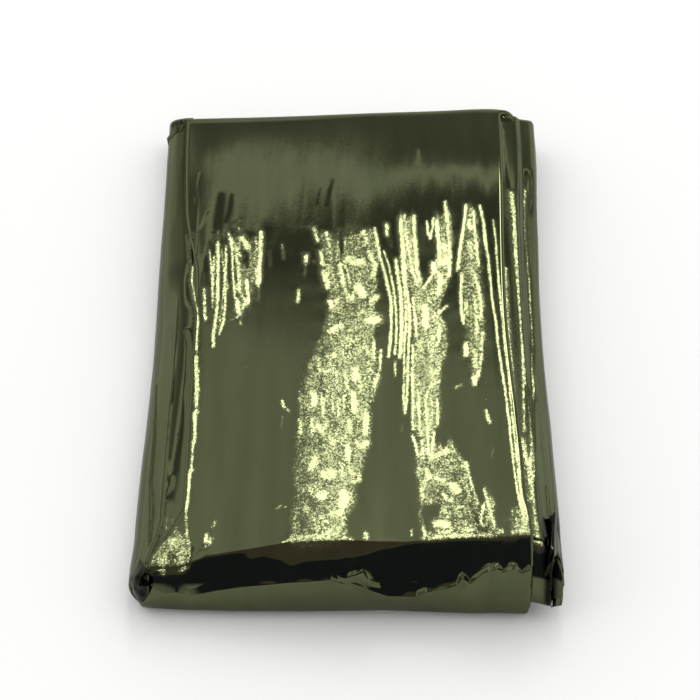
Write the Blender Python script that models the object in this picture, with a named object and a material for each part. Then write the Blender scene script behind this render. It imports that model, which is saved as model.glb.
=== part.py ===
"""Emergency foil blanket, folded for carrying.

One sheet of metallised film, 2.1 m by 1.3 m.  It is doubled end to end, halved four times
across its width into a flat strip about 85 mm wide, and the strip is halved three times
along its length, so eight lengths of it lie one above the other.

The solid is that strip: one body that runs back and forth through its eight lengths.  The
packet is pressed thin at its far left corner and stands loose and high at its near right one.

Frame: +Z up, X across the strip, Y along it, origin under the middle of the packet on the
surface it lies on.  The tables are in millimetres and are turned to metres at the end.
"""

import math

import bpy
import numpy as np

MM = 0.001

LENGTHS = 8  # lengths of the strip, counted in steps of one above the resting surface
HALF_THICKNESS = 0.37  # half the strip's thickness, as a share of one step
NEAR_STEP = 1.55  # how far one step of radius reaches along Y where the strip turns, near end
FAR_STEP = 1.30  # the same at the far end
NEAR_TURN_Y = -54.0  # where the straight lengths end and the near turns begin
FAR_TURN_Y = 71.6  # where the far turns begin
CUT_END_Y = 71.0  # where the strip's two cut ends stop, inside the far end
FAR_HOLD = 3.0  # above 1, a far turn keeps its lower length's edges most of the way up
SQUARENESS = 2.8  # 2 makes a round turn, more presses its corners square

# The strip's run, from one cut end to the other.  place counts the lengths from the
# resting surface, and turn is the end at which this length goes over into the next.
RUN = (
    # place, turn
    (4, "near"),
    (5, "far"),
    (8, "near"),
    (1, "far"),
    (2, "near"),
    (7, "far"),
    (6, "near"),
    (3, "none"),
)

# Where each length's two edges lie.  The lengths were laid down a little askew, so their
# edges are stepped.  The shoulder is just behind the near turns.
EDGES = {
    # place: left edge at near end, shoulder, middle and far end, then the same of the right edge
    8: (-41.8, -35.2, -34.9, -37.2, 37.3, 36.2, 34.6, 36.1),
    7: (-43.0, -40.4, -39.6, -40.4, 40.2, 39.2, 38.0, 39.9),
    6: (-44.6, -43.0, -42.0, -42.2, 43.2, 41.4, 39.6, 41.4),
    5: (-45.4, -44.4, -43.2, -43.5, 43.8, 43.0, 42.1, 44.2),
    4: (-45.9, -45.0, -43.7, -43.6, 44.2, 43.5, 42.4, 44.0),
    3: (-46.1, -45.2, -43.8, -43.5, 43.9, 43.4, 42.6, 43.4),
    2: (-46.0, -45.0, -43.7, -43.3, 41.7, 42.2, 42.1, 42.6),
    1: (-44.9, -44.2, -43.2, -42.8, 36.8, 38.4, 40.4, 42.0),
}
EDGE_ROWS = (-58.0, -44.0, 5.0, 70.0)  # where those four values hold along Y

# Height of the packet at the near end, the middle and the far end.  Then the near face:
# where its top crease lies and how far its foot stands out in front of that crease.  Then
# how far the far end stops short of its full length.
PROFILE = (
    # x, height near, height middle, height far, crease y, foot out, far end short
    (-46.0, 11.0, 10.6, 10.0, -59.3, 2.0, 0.0),
    (-41.0, 11.6, 11.4, 10.2, -59.1, 2.3, 0.4),
    (-34.0, 13.0, 13.4, 10.7, -58.6, 4.0, 0.5),
    (-24.0, 14.4, 13.6, 10.9, -57.8, 5.7, 0.4),
    (-8.0, 16.2, 14.4, 11.6, -57.1, 6.2, 0.4),
    (8.0, 16.4, 15.4, 12.3, -57.6, 5.9, 0.3),
    (22.0, 17.6, 16.4, 13.1, -57.4, 6.9, 0.4),
    (32.0, 18.8, 17.4, 13.8, -57.5, 6.4, 0.3),
    (37.0, 19.6, 17.6, 14.2, -57.8, 6.3, 1.6),
    (41.0, 19.8, 17.5, 14.3, -59.0, 6.4, 2.6),
    (46.0, 19.6, 17.4, 14.2, -60.4, 7.2, 1.9),
)
LEAN_POWER = 2.2  # above 1, the near face slopes out at its top and stands upright below
HEIGHT_ROWS = (-60.0, 5.0, 70.0)  # where those three heights hold along Y

# Long soft ridges pressed through the packet.
RIDGES = (
    # x near, x far, y near, y far, half width, height
    (-34.0, -34.6, -60.0, 48.0, 2.6, 0.9),
    (-26.0, -29.5, -20.0, 34.0, 3.2, 0.5),
    (-16.0, -22.0, -12.0, 36.0, 3.0, 0.5),
    (-6.5, -7.5, -60.0, 40.0, 3.4, 0.7),
    (2.5, 5.5, -40.0, 44.0, 2.8, 0.6),
    (18.0, 15.0, -60.0, 42.0, 3.2, 0.7),
    (28.0, 24.5, -30.0, 40.0, 2.8, 0.7),
    (34.0, 30.5, -60.0, 38.0, 2.4, 0.6),
)
RIDGE_RAMP = 14.0  # length over which a ridge rises from nothing at each of its ends

# Where the eight lengths share the height unequally: amplitude of a slow swell in the
# steps at the left, at the right, at the near end and at the far end.
SHARE_LEFT, SHARE_RIGHT, SHARE_NEAR, SHARE_FAR = -0.030, 0.034, 0.018, -0.022

# Columns across the strip, the same for every length between its outer bands.
COLUMNS = (-31.0, -27.0, -22.5, -17.0, -11.5, -7.0, -2.0, 3.0, 8.5, 13.5, 18.0, 22.5, 27.0, 31.0)
EDGE_SHARES = (0.55, 1.0)  # two more columns on each side, as shares of the way to the edge
ROWS = (-46.0, -36.0, -25.0, -13.0, 0.0, 13.0, 25.0, 36.0, 47.0, 58.0, 65.0)  # stations along Y
OUTER_TURN = (76.0, 60.0, 45.0, 31.0, 18.0, 6.0)  # stations round the outer turns, degrees each way
INNER_TURN = (62.0, 38.0, 12.0)  # the same round the two inner turns

FILM_COLOUR = (0.165, 0.180, 0.095, 1.0)  # olive green metallised film


def clear_scene():
    """Removes whatever the scene holds."""
    for item in list(bpy.data.objects):
        bpy.data.objects.remove(item, do_unlink=True)


def ease(value):
    """0 to 1 with level ends: v^2 (3 - 2v)."""
    v = min(max(value, 0.0), 1.0)
    return v * v * (3.0 - 2.0 * v)


def through(values, rows, y):
    """A smooth curve of y through its values at the rows."""
    for number in range(len(rows) - 1):
        if y < rows[number + 1] or number == len(rows) - 2:
            part = (y - rows[number]) / (rows[number + 1] - rows[number])
            return values[number] + (values[number + 1] - values[number]) * ease(part)
    return values[-1]


def from_profile(x, column):
    """One column of PROFILE at x."""
    places = [row[0] for row in PROFILE]
    values = [row[column] for row in PROFILE]
    return float(np.interp(x, places, values))


def ridge_height(x, y):
    """Sum of the ridges, each height * exp(-(distance / half width)^2) with eased ends."""
    total = 0.0
    for x_near, x_far, y_near, y_far, half_width, height in RIDGES:
        along = (y - y_near) / (y_far - y_near)
        middle = x_near + (x_far - x_near) * min(max(along, 0.0), 1.0)
        ends = ease(0.5 + (y - y_near) / RIDGE_RAMP) * ease(0.5 + (y_far - y) / RIDGE_RAMP)
        total += ends * height * math.exp(-(((x - middle) / half_width) ** 2))
    return total


def packet_height(x, y):
    """Full height of the packet over the point (x, y)."""
    near = from_profile(x, 1)
    middle = from_profile(x, 2)
    far = from_profile(x, 3)
    return through((near, middle, far), HEIGHT_ROWS, y) + ridge_height(x, y)


def share(step, x, y):
    """Share of the packet's height that lies under this step: 0 at the foot, 1 at the top."""
    across = ease((x + 45.0) / 90.0)
    along = ease((y + 62.0) / 134.0)
    swell = SHARE_LEFT + (SHARE_RIGHT - SHARE_LEFT) * across
    second = SHARE_NEAR + (SHARE_FAR - SHARE_NEAR) * along

    def raw(value):
        turn = value / LENGTHS
        return turn + swell * math.sin(2.0 * math.pi * turn) + second * math.sin(4.0 * math.pi * turn)

    foot = raw(0.5 - HALF_THICKNESS)
    top = raw(LENGTHS - 0.5 + HALF_THICKNESS)
    return (raw(step) - foot) / (top - foot)


def placed(column, y, step, edges):
    """A point of the packed strip in millimetres, from its column, Y, step and the two edges."""
    x = column_x(column, y, edges)
    lean = ease((-14.0 - y) / 38.0)
    crease = from_profile(x, 4) + 57.8
    foot_out = from_profile(x, 5)
    y = y + lean * (crease - foot_out * (1.0 - max(step / LENGTHS, 0.0) ** LEAN_POWER))
    y = y - ease((y - 40.0) / 34.0) * from_profile(x, 6)
    z = packet_height(x, y) * share(step, x, y)
    return (x, y, z)


def edge_x(side, y, edges):
    """Where the strip's left (side 0) or right (side 1) edge lies at this Y.

    edges is (place, next place, blend): on a turn the edge goes over from one to the other.
    """
    first, second, blend = edges
    values = []
    for place in (first, second):
        values.append(through(EDGES[place][4 * side : 4 * side + 4], EDGE_ROWS, y))
    return values[0] + (values[1] - values[0]) * blend


def column_x(column, y, edges):
    """X of a column: inner columns stand still, the outer two follow the strip's edge."""
    if 2 <= column < len(COLUMNS) + 2:
        return COLUMNS[column - 2]
    left = column < 2
    edge = edge_x(0 if left else 1, y, edges)
    start = COLUMNS[0] if left else COLUMNS[-1]
    outer = column in (0, len(COLUMNS) + 3)
    return start + (edge - start) * EDGE_SHARES[1 if outer else 0]


def turn_point(end, centre, radius, degrees):
    """A point on a pressed turn: a superellipse of this radius round the turn's centre."""
    power = 2.0 / SQUARENESS
    a = math.radians(degrees)
    out = radius * math.cos(a) ** power
    up = radius * math.copysign(abs(math.sin(a)) ** power, a)
    if end == "near":
        return (NEAR_TURN_Y - out * NEAR_STEP, centre + up)
    return (FAR_TURN_Y + out * FAR_STEP, centre + up)


def stations():
    """Stations along the strip: the (Y, step) of its upper face, middle and lower face, and
    which edges it has there."""
    found = []
    heading = -1
    facing = 1
    for number, (place, turn) in enumerate(RUN):
        step = place - 0.5
        rows = list(ROWS) + [FAR_TURN_Y, NEAR_TURN_Y]
        if number == 0 or turn == "none":
            rows = list(ROWS) + [CUT_END_Y, NEAR_TURN_Y]
        for y in sorted(rows, reverse=heading < 0):
            side = HALF_THICKNESS * facing
            edges = (place, place, 0.0)
            found.append(((y, step + side), (y, step), (y, step - side), edges))
        if turn == "none":
            break
        following = RUN[number + 1][0] - 0.5
        centre = (step + following) / 2.0
        radius = abs(following - step) / 2.0
        angles = OUTER_TURN if radius > 2.0 else INNER_TURN
        angles = [-a for a in angles] + [a for a in reversed(angles)]
        if following < step:
            angles = angles[::-1]
        inward = facing if following > step else -facing
        for number_round, degrees in enumerate(angles):
            radii = (radius - inward * HALF_THICKNESS, radius, radius + inward * HALF_THICKNESS)
            blend = (number_round + 1.0) / (len(angles) + 1.0)
            if turn == "far":
                blend = blend**FAR_HOLD if following > step else 1.0 - (1.0 - blend) ** FAR_HOLD
            edges = (place, RUN[number + 1][0], blend)
            ring = [turn_point(turn, centre, r, degrees) for r in radii]
            found.append((ring[0], ring[1], ring[2], edges))
        heading = -heading
        facing = -facing
    return found


def strip_mesh():
    """The strip as one closed mesh: a ring of points at every station, lofted, with two caps."""
    last = len(COLUMNS) + 3
    points = []
    for upper, middle, lower, edges in stations():
        ring = []
        for column in range(last + 1):
            ring.append(placed(column, *upper, edges))
        right = placed(last, *middle, edges)
        ring.append((right[0] + 0.35, right[1], right[2]))
        for column in range(last, -1, -1):
            ring.append(placed(column, *lower, edges))
        left = placed(0, *middle, edges)
        ring.append((left[0] - 0.35, left[1], left[2]))
        points.append(ring)

    count = len(points[0])
    faces = []
    for station in range(len(points) - 1):
        for corner in range(count):
            after = (corner + 1) % count
            a = station * count
            b = a + count
            faces.append((a + corner, b + corner, b + after, a + after))
    for start, outward in ((0, False), ((len(points) - 1) * count, True)):
        for column in range(last):
            a = start + column
            c = start + 2 * last + 2 - column
            cap = (a, c, c - 1, a + 1)
            faces.append(cap if outward else cap[::-1])
        right_cap = (start + last, start + last + 2, start + last + 1)
        left_cap = (start, start + count - 1, start + count - 2)
        faces.append(right_cap if outward else right_cap[::-1])
        faces.append(left_cap if outward else left_cap[::-1])

    flat = np.array(points, dtype=float).reshape(-1, 3)
    flat[:, 2] = np.where(np.abs(flat[:, 2]) < 1e-6, 0.0, flat[:, 2])
    middle_of_box = (flat.min(axis=0) + flat.max(axis=0)) / 2.0
    flat[:, :2] -= middle_of_box[:2]
    mesh = bpy.data.meshes.new("foil_blanket")
    mesh.from_pydata((flat * MM).tolist(), [], faces)
    mesh.update()
    return mesh


def film_material():
    """Metallised film: a smooth olive mirror."""
    material = bpy.data.materials.new("metallised_film")
    material.use_nodes = True
    shader = material.node_tree.nodes["Principled BSDF"]
    shader.inputs["Base Color"].default_value = FILM_COLOUR
    shader.inputs["Metallic"].default_value = 1.0
    shader.inputs["Roughness"].default_value = 0.18
    return material


clear_scene()
collection = bpy.data.collections.new("emergency_foil_blanket")
bpy.context.scene.collection.children.link(collection)
blanket = bpy.data.objects.new("foil_blanket", strip_mesh())
blanket.data.materials.append(film_material())
collection.objects.link(blanket)
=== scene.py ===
import math

import bpy
import numpy as np
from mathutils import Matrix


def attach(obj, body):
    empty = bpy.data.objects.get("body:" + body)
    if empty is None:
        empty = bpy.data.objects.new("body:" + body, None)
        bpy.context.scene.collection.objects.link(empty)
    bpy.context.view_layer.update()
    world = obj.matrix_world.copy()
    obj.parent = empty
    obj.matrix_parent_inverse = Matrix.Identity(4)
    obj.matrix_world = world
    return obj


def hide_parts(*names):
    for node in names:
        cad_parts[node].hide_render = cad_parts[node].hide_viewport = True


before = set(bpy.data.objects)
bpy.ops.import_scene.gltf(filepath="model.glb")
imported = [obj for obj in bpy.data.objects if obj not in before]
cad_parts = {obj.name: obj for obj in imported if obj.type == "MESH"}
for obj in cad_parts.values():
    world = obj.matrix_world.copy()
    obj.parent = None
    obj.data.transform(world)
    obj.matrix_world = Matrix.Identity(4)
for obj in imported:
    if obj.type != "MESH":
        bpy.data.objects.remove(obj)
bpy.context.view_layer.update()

# ---------------------------------------------------------------- the room
# A pale table top, a tall softbox behind the packet and a plain room round it.  A mirror film
# shows what stands round it, so the room has a bright wall, a dark gap, a dim ceiling and a
# dark near side for mirror rays, and is plain and pale for all others.

bpy.context.scene.view_settings.view_transform = "Standard"
bpy.context.scene.view_settings.look = "None"

LOOK_AT = (0.0007, -0.0043, 0.0100)
VIEW_DISTANCE = 0.5177
VIEW_ELEVATION = math.radians(50.0)
camera_data = bpy.data.cameras.new("camera")
camera_data.lens = 119.8
camera_data.sensor_width = 36.0
camera_data.clip_start = 0.01
camera = bpy.data.objects.new("camera", camera_data)
camera.location = (
    LOOK_AT[0],
    LOOK_AT[1] - VIEW_DISTANCE * math.cos(VIEW_ELEVATION),
    LOOK_AT[2] + VIEW_DISTANCE * math.sin(VIEW_ELEVATION),
)
camera.rotation_euler = (math.pi / 2 - VIEW_ELEVATION, 0.0, 0.0)
bpy.context.scene.collection.objects.link(camera)
bpy.context.scene.camera = camera

floor_mesh = bpy.data.meshes.new("table_top")
floor_mesh.from_pydata(
    [(-3.0, -3.0, 0.0), (3.0, -3.0, 0.0), (3.0, 3.0, 0.0), (-3.0, 3.0, 0.0)], [], [(0, 1, 2, 3)]
)
floor = bpy.data.objects.new("table_top", floor_mesh)
bpy.context.scene.collection.objects.link(floor)
floor_paint = bpy.data.materials.new("pale_table")
floor_paint.use_nodes = True
floor_nodes = floor_paint.node_tree.nodes
floor_link = floor_paint.node_tree.links.new
plain = floor_nodes["Principled BSDF"]
plain.inputs["Base Color"].default_value = (0.93, 0.93, 0.92, 1)
plain.inputs["Roughness"].default_value = 0.9
plain.inputs["Specular IOR Level"].default_value = 0.1
# Painted shade: mirror rays meet the table top as a darker grey than the camera does, standing in for the
# shade on the table in front of the packet that the film's near face mirrors.
painted_table_shade = floor_nodes.new("ShaderNodeBsdfDiffuse")
painted_table_shade.inputs["Color"].default_value = (0.42, 0.42, 0.42, 1)
mirrored = floor_nodes.new("ShaderNodeLightPath")
floor_mix = floor_nodes.new("ShaderNodeMixShader")
floor_link(mirrored.outputs["Is Glossy Ray"], floor_mix.inputs["Fac"])
floor_link(plain.outputs[0], floor_mix.inputs[1])
floor_link(painted_table_shade.outputs[0], floor_mix.inputs[2])
floor_link(floor_mix.outputs[0], floor_nodes["Material Output"].inputs["Surface"])
floor_mesh.materials.append(floor_paint)

LAMP_AZIMUTH = math.radians(5.0)
LAMP_ELEVATION = math.radians(50.9)
LAMP_DISTANCE = 1.5
LAMP_SIZE = (0.155, 0.60)
LAMP_RADIANCE = 7.8
lamp_data = bpy.data.lights.new("softbox", "AREA")
lamp_data.shape = "RECTANGLE"
lamp_data.size, lamp_data.size_y = LAMP_SIZE
lamp_data.energy = LAMP_RADIANCE * math.pi * LAMP_SIZE[0] * LAMP_SIZE[1]
lamp_data.color = (1.0, 0.95, 0.92)
lamp = bpy.data.objects.new("softbox", lamp_data)
lamp.location = (
    LAMP_DISTANCE * math.cos(LAMP_ELEVATION) * math.sin(LAMP_AZIMUTH),
    LAMP_DISTANCE * math.cos(LAMP_ELEVATION) * math.cos(LAMP_AZIMUTH),
    LAMP_DISTANCE * math.sin(LAMP_ELEVATION),
)
lamp.rotation_euler = (-(math.pi / 2 - LAMP_ELEVATION), 0.0, -LAMP_AZIMUTH)
bpy.context.scene.collection.objects.link(lamp)


def ranged(tree, value, start, end, low, high, smooth=True):
    """A Map Range node's result: low to high as the value goes from start to end."""
    node = tree.nodes.new("ShaderNodeMapRange")
    if smooth:
        node.interpolation_type = "SMOOTHSTEP"
    for socket, number in (("From Min", start), ("From Max", end), ("To Min", low), ("To Max", high)):
        node.inputs[socket].default_value = number
    tree.links.new(value, node.inputs["Value"])
    return node.outputs["Result"]


ROOM_LEVELS = (
    # sine of the elevation, level, how much it turns to brown
    (0.00, 0.62, 0),
    (0.400, 0.52, 0),
    (0.560, 0.21, 0),
    (0.600, 0.155, 0),
    (0.618, 0.20, 0),
    (0.634, 0.66, 0),
    (0.645, 0.70, 0),
    (0.654, 0.10, 0),
    (0.677, 0.09, 0),
    (0.697, 0.24, 0),
    (0.722, 0.46, 0),
    (0.860, 0.50, 0),
    (0.892, 0.13, 1),
    (0.930, 0.165, 1),
    (0.958, 0.14, 1),
    (1.00, 0.13, 0),
)
BROWN_LOSS = (0.0, 0.26, 0.22)
NIGHT = (0.030, 0.033, 0.056, 1.0)


def room_world():
    """What a mirror ray meets: ROOM_LEVELS by the sine of the elevation, fading to NIGHT where
    the direction's y, over its length on the floor, falls below about -0.4, except close to the
    floor.  The camera meets plain white, and matt things a soft light, weaker from that side."""
    world = bpy.data.worlds.new("room")
    world.use_nodes = True
    tree = world.node_tree
    tree.nodes.clear()
    make = tree.nodes.new
    link = tree.links.new

    def worked(operation, first, second=None):
        """A Math node's result for one or two sockets."""
        node = make("ShaderNodeMath")
        node.operation = operation
        link(first, node.inputs[0])
        if second is not None:
            link(second, node.inputs[1])
        return node.outputs[0]

    coords = make("ShaderNodeTexCoord")
    parts = make("ShaderNodeSeparateXYZ")
    link(coords.outputs["Generated"], parts.inputs[0])
    x, y, z = (parts.outputs[axis] for axis in "XYZ")

    height = make("ShaderNodeValToRGB")
    link(z, height.inputs["Fac"])
    ramp = height.color_ramp
    while len(ramp.elements) < len(ROOM_LEVELS):
        ramp.elements.new(0.5)
    for element, (place, level, brown) in zip(ramp.elements, ROOM_LEVELS):
        element.position = place
        element.color = (*(level * (1 - loss * brown) for loss in BROWN_LOSS), 1.0)

    on_floor = worked("SQRT", worked("ADD", worked("MULTIPLY", x, x), worked("MULTIPLY", y, y)))
    facing = worked("DIVIDE", y, on_floor)
    beyond = ranged(tree, facing, -0.62, -0.22, 0.0, 1.0)
    close_to_floor = ranged(tree, z, 0.03, 0.16, 0.5, 0.0)
    dimmed = make("ShaderNodeMix")
    dimmed.data_type = "RGBA"
    dimmed.inputs["A"].default_value = NIGHT
    link(height.outputs["Color"], dimmed.inputs["B"])
    link(worked("MAXIMUM", beyond, close_to_floor), dimmed.inputs["Factor"])

    mirror = make("ShaderNodeBackground")
    link(dimmed.outputs["Result"], mirror.inputs["Color"])
    pale = make("ShaderNodeBackground")
    pale.inputs["Color"].default_value = (1.0, 1.0, 1.0, 1.0)
    soft = make("ShaderNodeBackground")
    strength = ranged(tree, ranged(tree, facing, -0.60, -0.20, 0.0, 1.0), 0.0, 1.0, 0.66, 1.62, smooth=False)
    link(strength, soft.inputs["Strength"])
    seen = make("ShaderNodeLightPath")
    matt = make("ShaderNodeMixShader")
    link(seen.outputs["Is Camera Ray"], matt.inputs["Fac"])
    link(soft.outputs[0], matt.inputs[1])
    link(pale.outputs[0], matt.inputs[2])
    choose = make("ShaderNodeMixShader")
    link(seen.outputs["Is Glossy Ray"], choose.inputs["Fac"])
    link(matt.outputs[0], choose.inputs[1])
    link(mirror.outputs[0], choose.inputs[2])
    out = make("ShaderNodeOutputWorld")
    link(choose.outputs[0], out.inputs["Surface"])
    return world


bpy.context.scene.world = room_world()

# ---------------------------------------------------------------- the folded sheet
# One sheet of thin polyester film, 2.1 m by 1.3 m, metal-coated olive green.  It is doubled
# end to end, halved four times across its width into a strip of thirty-two films, and the
# strip is halved three times along its length.  Tables here are in millimetres.

MM = 0.001
LENGTHS = 8
SKIN = 0.37  # from the middle of a length to its film, in steps of one length
NEAR_STEP, FAR_STEP = 1.55, 1.30  # how far a turn of radius one step bulges, mm
NEAR_TURN_Y, FAR_TURN_Y, CUT_END_Y = -54.0, 71.6, 71.0
SQUARENESS = 2.8
LEAN_FROM_Y, CREASE_Y = -14.0, -57.8
LEAN_POWER = 2.2
SHIFT = (0.8608, -3.9702)  # from the tables' x and y to the part's
RUN = ((4, "near"), (5, "far"), (8, "near"), (1, "far"), (2, "near"), (7, "far"), (6, "near"), (3, "none"))
EDGE_ROWS = np.array((-58.0, -44.0, 5.0, 70.0))
EDGES = np.array(
    (
        # x of the left edge at each of EDGE_ROWS, then of the right edge; the lowest length first
        (-44.9, -44.2, -43.2, -42.8, 36.8, 38.4, 40.4, 42.0),
        (-46.0, -45.0, -43.7, -43.3, 41.7, 42.2, 42.1, 42.6),
        (-46.1, -45.2, -43.8, -43.5, 43.9, 43.4, 42.6, 43.4),
        (-45.9, -45.0, -43.7, -43.6, 44.2, 43.5, 42.4, 44.0),
        (-45.4, -44.4, -43.2, -43.5, 43.8, 43.0, 42.1, 44.2),
        (-44.6, -43.0, -42.0, -42.2, 43.2, 41.4, 39.6, 41.4),
        (-43.0, -40.4, -39.6, -40.4, 40.2, 39.2, 38.0, 39.9),
        (-41.8, -35.2, -34.9, -37.2, 37.3, 36.2, 34.6, 36.1),
    )
)
PROFILE = np.array(
    (
        # x, height near, height middle, height far, crease y, foot out, far end short
        (-46.0, 11.0, 10.6, 10.0, -59.3, 2.0, 0.0),
        (-41.0, 11.6, 11.4, 10.2, -59.1, 2.3, 0.4),
        (-34.0, 13.0, 13.4, 10.7, -58.6, 4.0, 0.5),
        (-24.0, 14.4, 13.6, 10.9, -57.8, 5.7, 0.4),
        (-8.0, 16.2, 14.4, 11.6, -57.1, 6.2, 0.4),
        (8.0, 16.4, 15.4, 12.3, -57.6, 5.9, 0.3),
        (22.0, 17.6, 16.4, 13.1, -57.4, 6.9, 0.4),
        (32.0, 18.8, 17.4, 13.8, -57.5, 6.4, 0.3),
        (37.0, 19.6, 17.6, 14.2, -57.8, 6.3, 1.6),
        (41.0, 19.8, 17.5, 14.3, -59.0, 6.4, 2.6),
        (46.0, 19.6, 17.4, 14.2, -60.4, 7.2, 1.9),
    )
)
SHARE_LEFT, SHARE_RIGHT, SHARE_NEAR, SHARE_FAR = -0.030, 0.034, 0.018, -0.022
PROFILE_X = np.arange(-52.0, 52.0, 0.5)


def softened(column):
    """A column of PROFILE run through its rows and smoothed with a bell 3 mm wide."""
    rough = np.interp(PROFILE_X, PROFILE[:, 0], PROFILE[:, column])
    bell = np.exp(-((np.arange(-12.0, 12.5, 0.5) / 3.0) ** 2))
    padded = np.pad(rough, 24, mode="edge")
    return np.convolve(padded, bell / bell.sum(), mode="valid")


SMOOTH_PROFILE = [softened(column) for column in range(1, 7)]


def ease(v):
    """v^2 (3 - 2v), held to 0..1."""
    v = np.clip(v, 0.0, 1.0)
    return v * v * (3.0 - 2.0 * v)


def packet_height(x, y):
    """Height of the packet: the parabola in y through its near, middle and far heights."""
    near, middle, far = (np.interp(x, PROFILE_X, SMOOTH_PROFILE[k]) for k in range(3))
    t = (np.clip(y, -64.0, 76.0) - 5.0) / 65.0
    return middle + 0.5 * (far - near) * t + 0.5 * (far + near - 2.0 * middle) * t * t


def share(step, x, y):
    """Share of the height under a step: a straight rise with two slow swells, 0 to 1."""
    across = ease((x + 45.0) / 90.0)
    along = ease((y + 62.0) / 134.0)
    swell = SHARE_LEFT + (SHARE_RIGHT - SHARE_LEFT) * across
    second = SHARE_NEAR + (SHARE_FAR - SHARE_NEAR) * along

    def raw(value):
        t = value / LENGTHS
        return t + swell * np.sin(2 * np.pi * t) + second * np.sin(4 * np.pi * t)

    foot = raw(0.5 - SKIN)
    return (raw(step) - foot) / (raw(LENGTHS - 0.5 + SKIN) - foot)


def edge_x(side, y, first, second, blend):
    """X of the strip's left (0) or right (1) edge, eased between the rows of EDGES."""
    k = np.clip(np.searchsorted(EDGE_ROWS, y, side="right") - 1, 0, 2)
    part = ease((y - EDGE_ROWS[k]) / (EDGE_ROWS[k + 1] - EDGE_ROWS[k]))
    column = 4 * side + k
    at_first = EDGES[first - 1, column] * (1 - part) + EDGES[first - 1, column + 1] * part
    at_second = EDGES[second - 1, column] * (1 - part) + EDGES[second - 1, column + 1] * part
    return at_first * (1 - blend) + at_second * blend


def packed(x, y, step):
    """From the flat layer picture (x, y, step) to the leaning, tapering packet, in millimetres."""
    lean = ease((LEAN_FROM_Y - y) / 38.0)
    crease = np.interp(x, PROFILE_X, SMOOTH_PROFILE[3]) - CREASE_Y
    foot_out = np.interp(x, PROFILE_X, SMOOTH_PROFILE[4])
    short = np.interp(x, PROFILE_X, SMOOTH_PROFILE[5])
    level = np.clip(step / LENGTHS, 0.0, 1.2)
    y = y + lean * (crease - foot_out * (1.0 - level**LEAN_POWER))
    y = y - ease((y - 40.0) / 34.0) * short
    droop = 1.0 - 0.0042 * np.clip(x - 34.8, 0.0, 12.0)
    z = packet_height(x, y) * share(step, x, y) * droop
    return np.stack(np.broadcast_arrays(x, y, z), axis=-1)


def strip_stations(straight, around):
    """Stations along the strip as columns: turn?, y or degrees, place or centre, radius,
    facing, inward, end sign, first place, second place, blend."""
    rows = []
    heading, facing = -1, 1
    for number, (place, turn) in enumerate(RUN):
        far = CUT_END_Y if number in (0, len(RUN) - 1) else FAR_TURN_Y
        ys = np.linspace(NEAR_TURN_Y, far, straight)
        for y in ys[::heading]:
            rows.append((0, y, place - 0.5, 0, facing, 0, 0, place, place, 0))
        if turn == "none":
            break
        following = RUN[number + 1][0]
        radius = abs(following - place) / 2.0
        up = 1 if following > place else -1
        angles = np.linspace(-90, 90, around + 2)[1:-1] * up
        for step, degrees in enumerate(angles):
            blend = (step + 1.0) / (around + 1.0)
            end = -1 if turn == "near" else 1
            centre = (place + following) / 2.0 - 0.5
            rows.append((1, degrees, centre, radius, facing, up * facing, end, place, following, blend))
        heading, facing = -heading, -facing
    return np.array(rows, dtype=float)


def along_strip(stations, offset):
    """(y, step) at each station for an offset off the strip's middle, in steps."""
    turn, place, centre, radius, facing, inward, end = (stations[:, k : k + 1] for k in range(7))
    a = np.radians(place)
    power = 2.0 / SQUARENESS
    r = radius - inward * offset
    out = r * np.clip(np.cos(a), 0, 1) ** power
    up = r * np.sign(np.sin(a)) * np.abs(np.sin(a)) ** power
    turn_y = np.where(end < 0, NEAR_TURN_Y - out * NEAR_STEP, FAR_TURN_Y + out * FAR_STEP)
    y = np.where(turn > 0, turn_y, place)
    step = np.where(turn > 0, centre + up, centre + facing * offset)
    return y, step


def grid_mesh(name, points, closed=False, flip=False):
    """A mesh from a grid of points (rows, columns, 3) in millimetres, one quad a cell."""
    rows, columns = points.shape[:2]
    index = np.arange(rows * columns).reshape(rows, columns)
    if closed:
        index = np.concatenate([index, index[:, :1]], axis=1)
    quads = np.stack([index[:-1, :-1], index[:-1, 1:], index[1:, 1:], index[1:, :-1]], axis=-1)
    quads = quads.reshape(-1, 4)
    if flip:
        quads = quads[:, ::-1]
    place = points.reshape(-1, 3).copy()
    place[:, :2] += SHIFT
    mesh = bpy.data.meshes.new(name)
    mesh.vertices.add(len(place))
    mesh.vertices.foreach_set("co", (place * MM).astype(np.float32).ravel())
    mesh.loops.add(quads.size)
    mesh.loops.foreach_set("vertex_index", quads.astype(np.int32).ravel())
    mesh.polygons.add(len(quads))
    mesh.polygons.foreach_set("loop_start", np.arange(0, quads.size, 4, dtype=np.int32))
    mesh.update(calc_edges=True)
    mesh.validate()
    mesh.shade_smooth()
    item = bpy.data.objects.new(name, mesh)
    bpy.context.scene.collection.objects.link(item)
    return item


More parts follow.
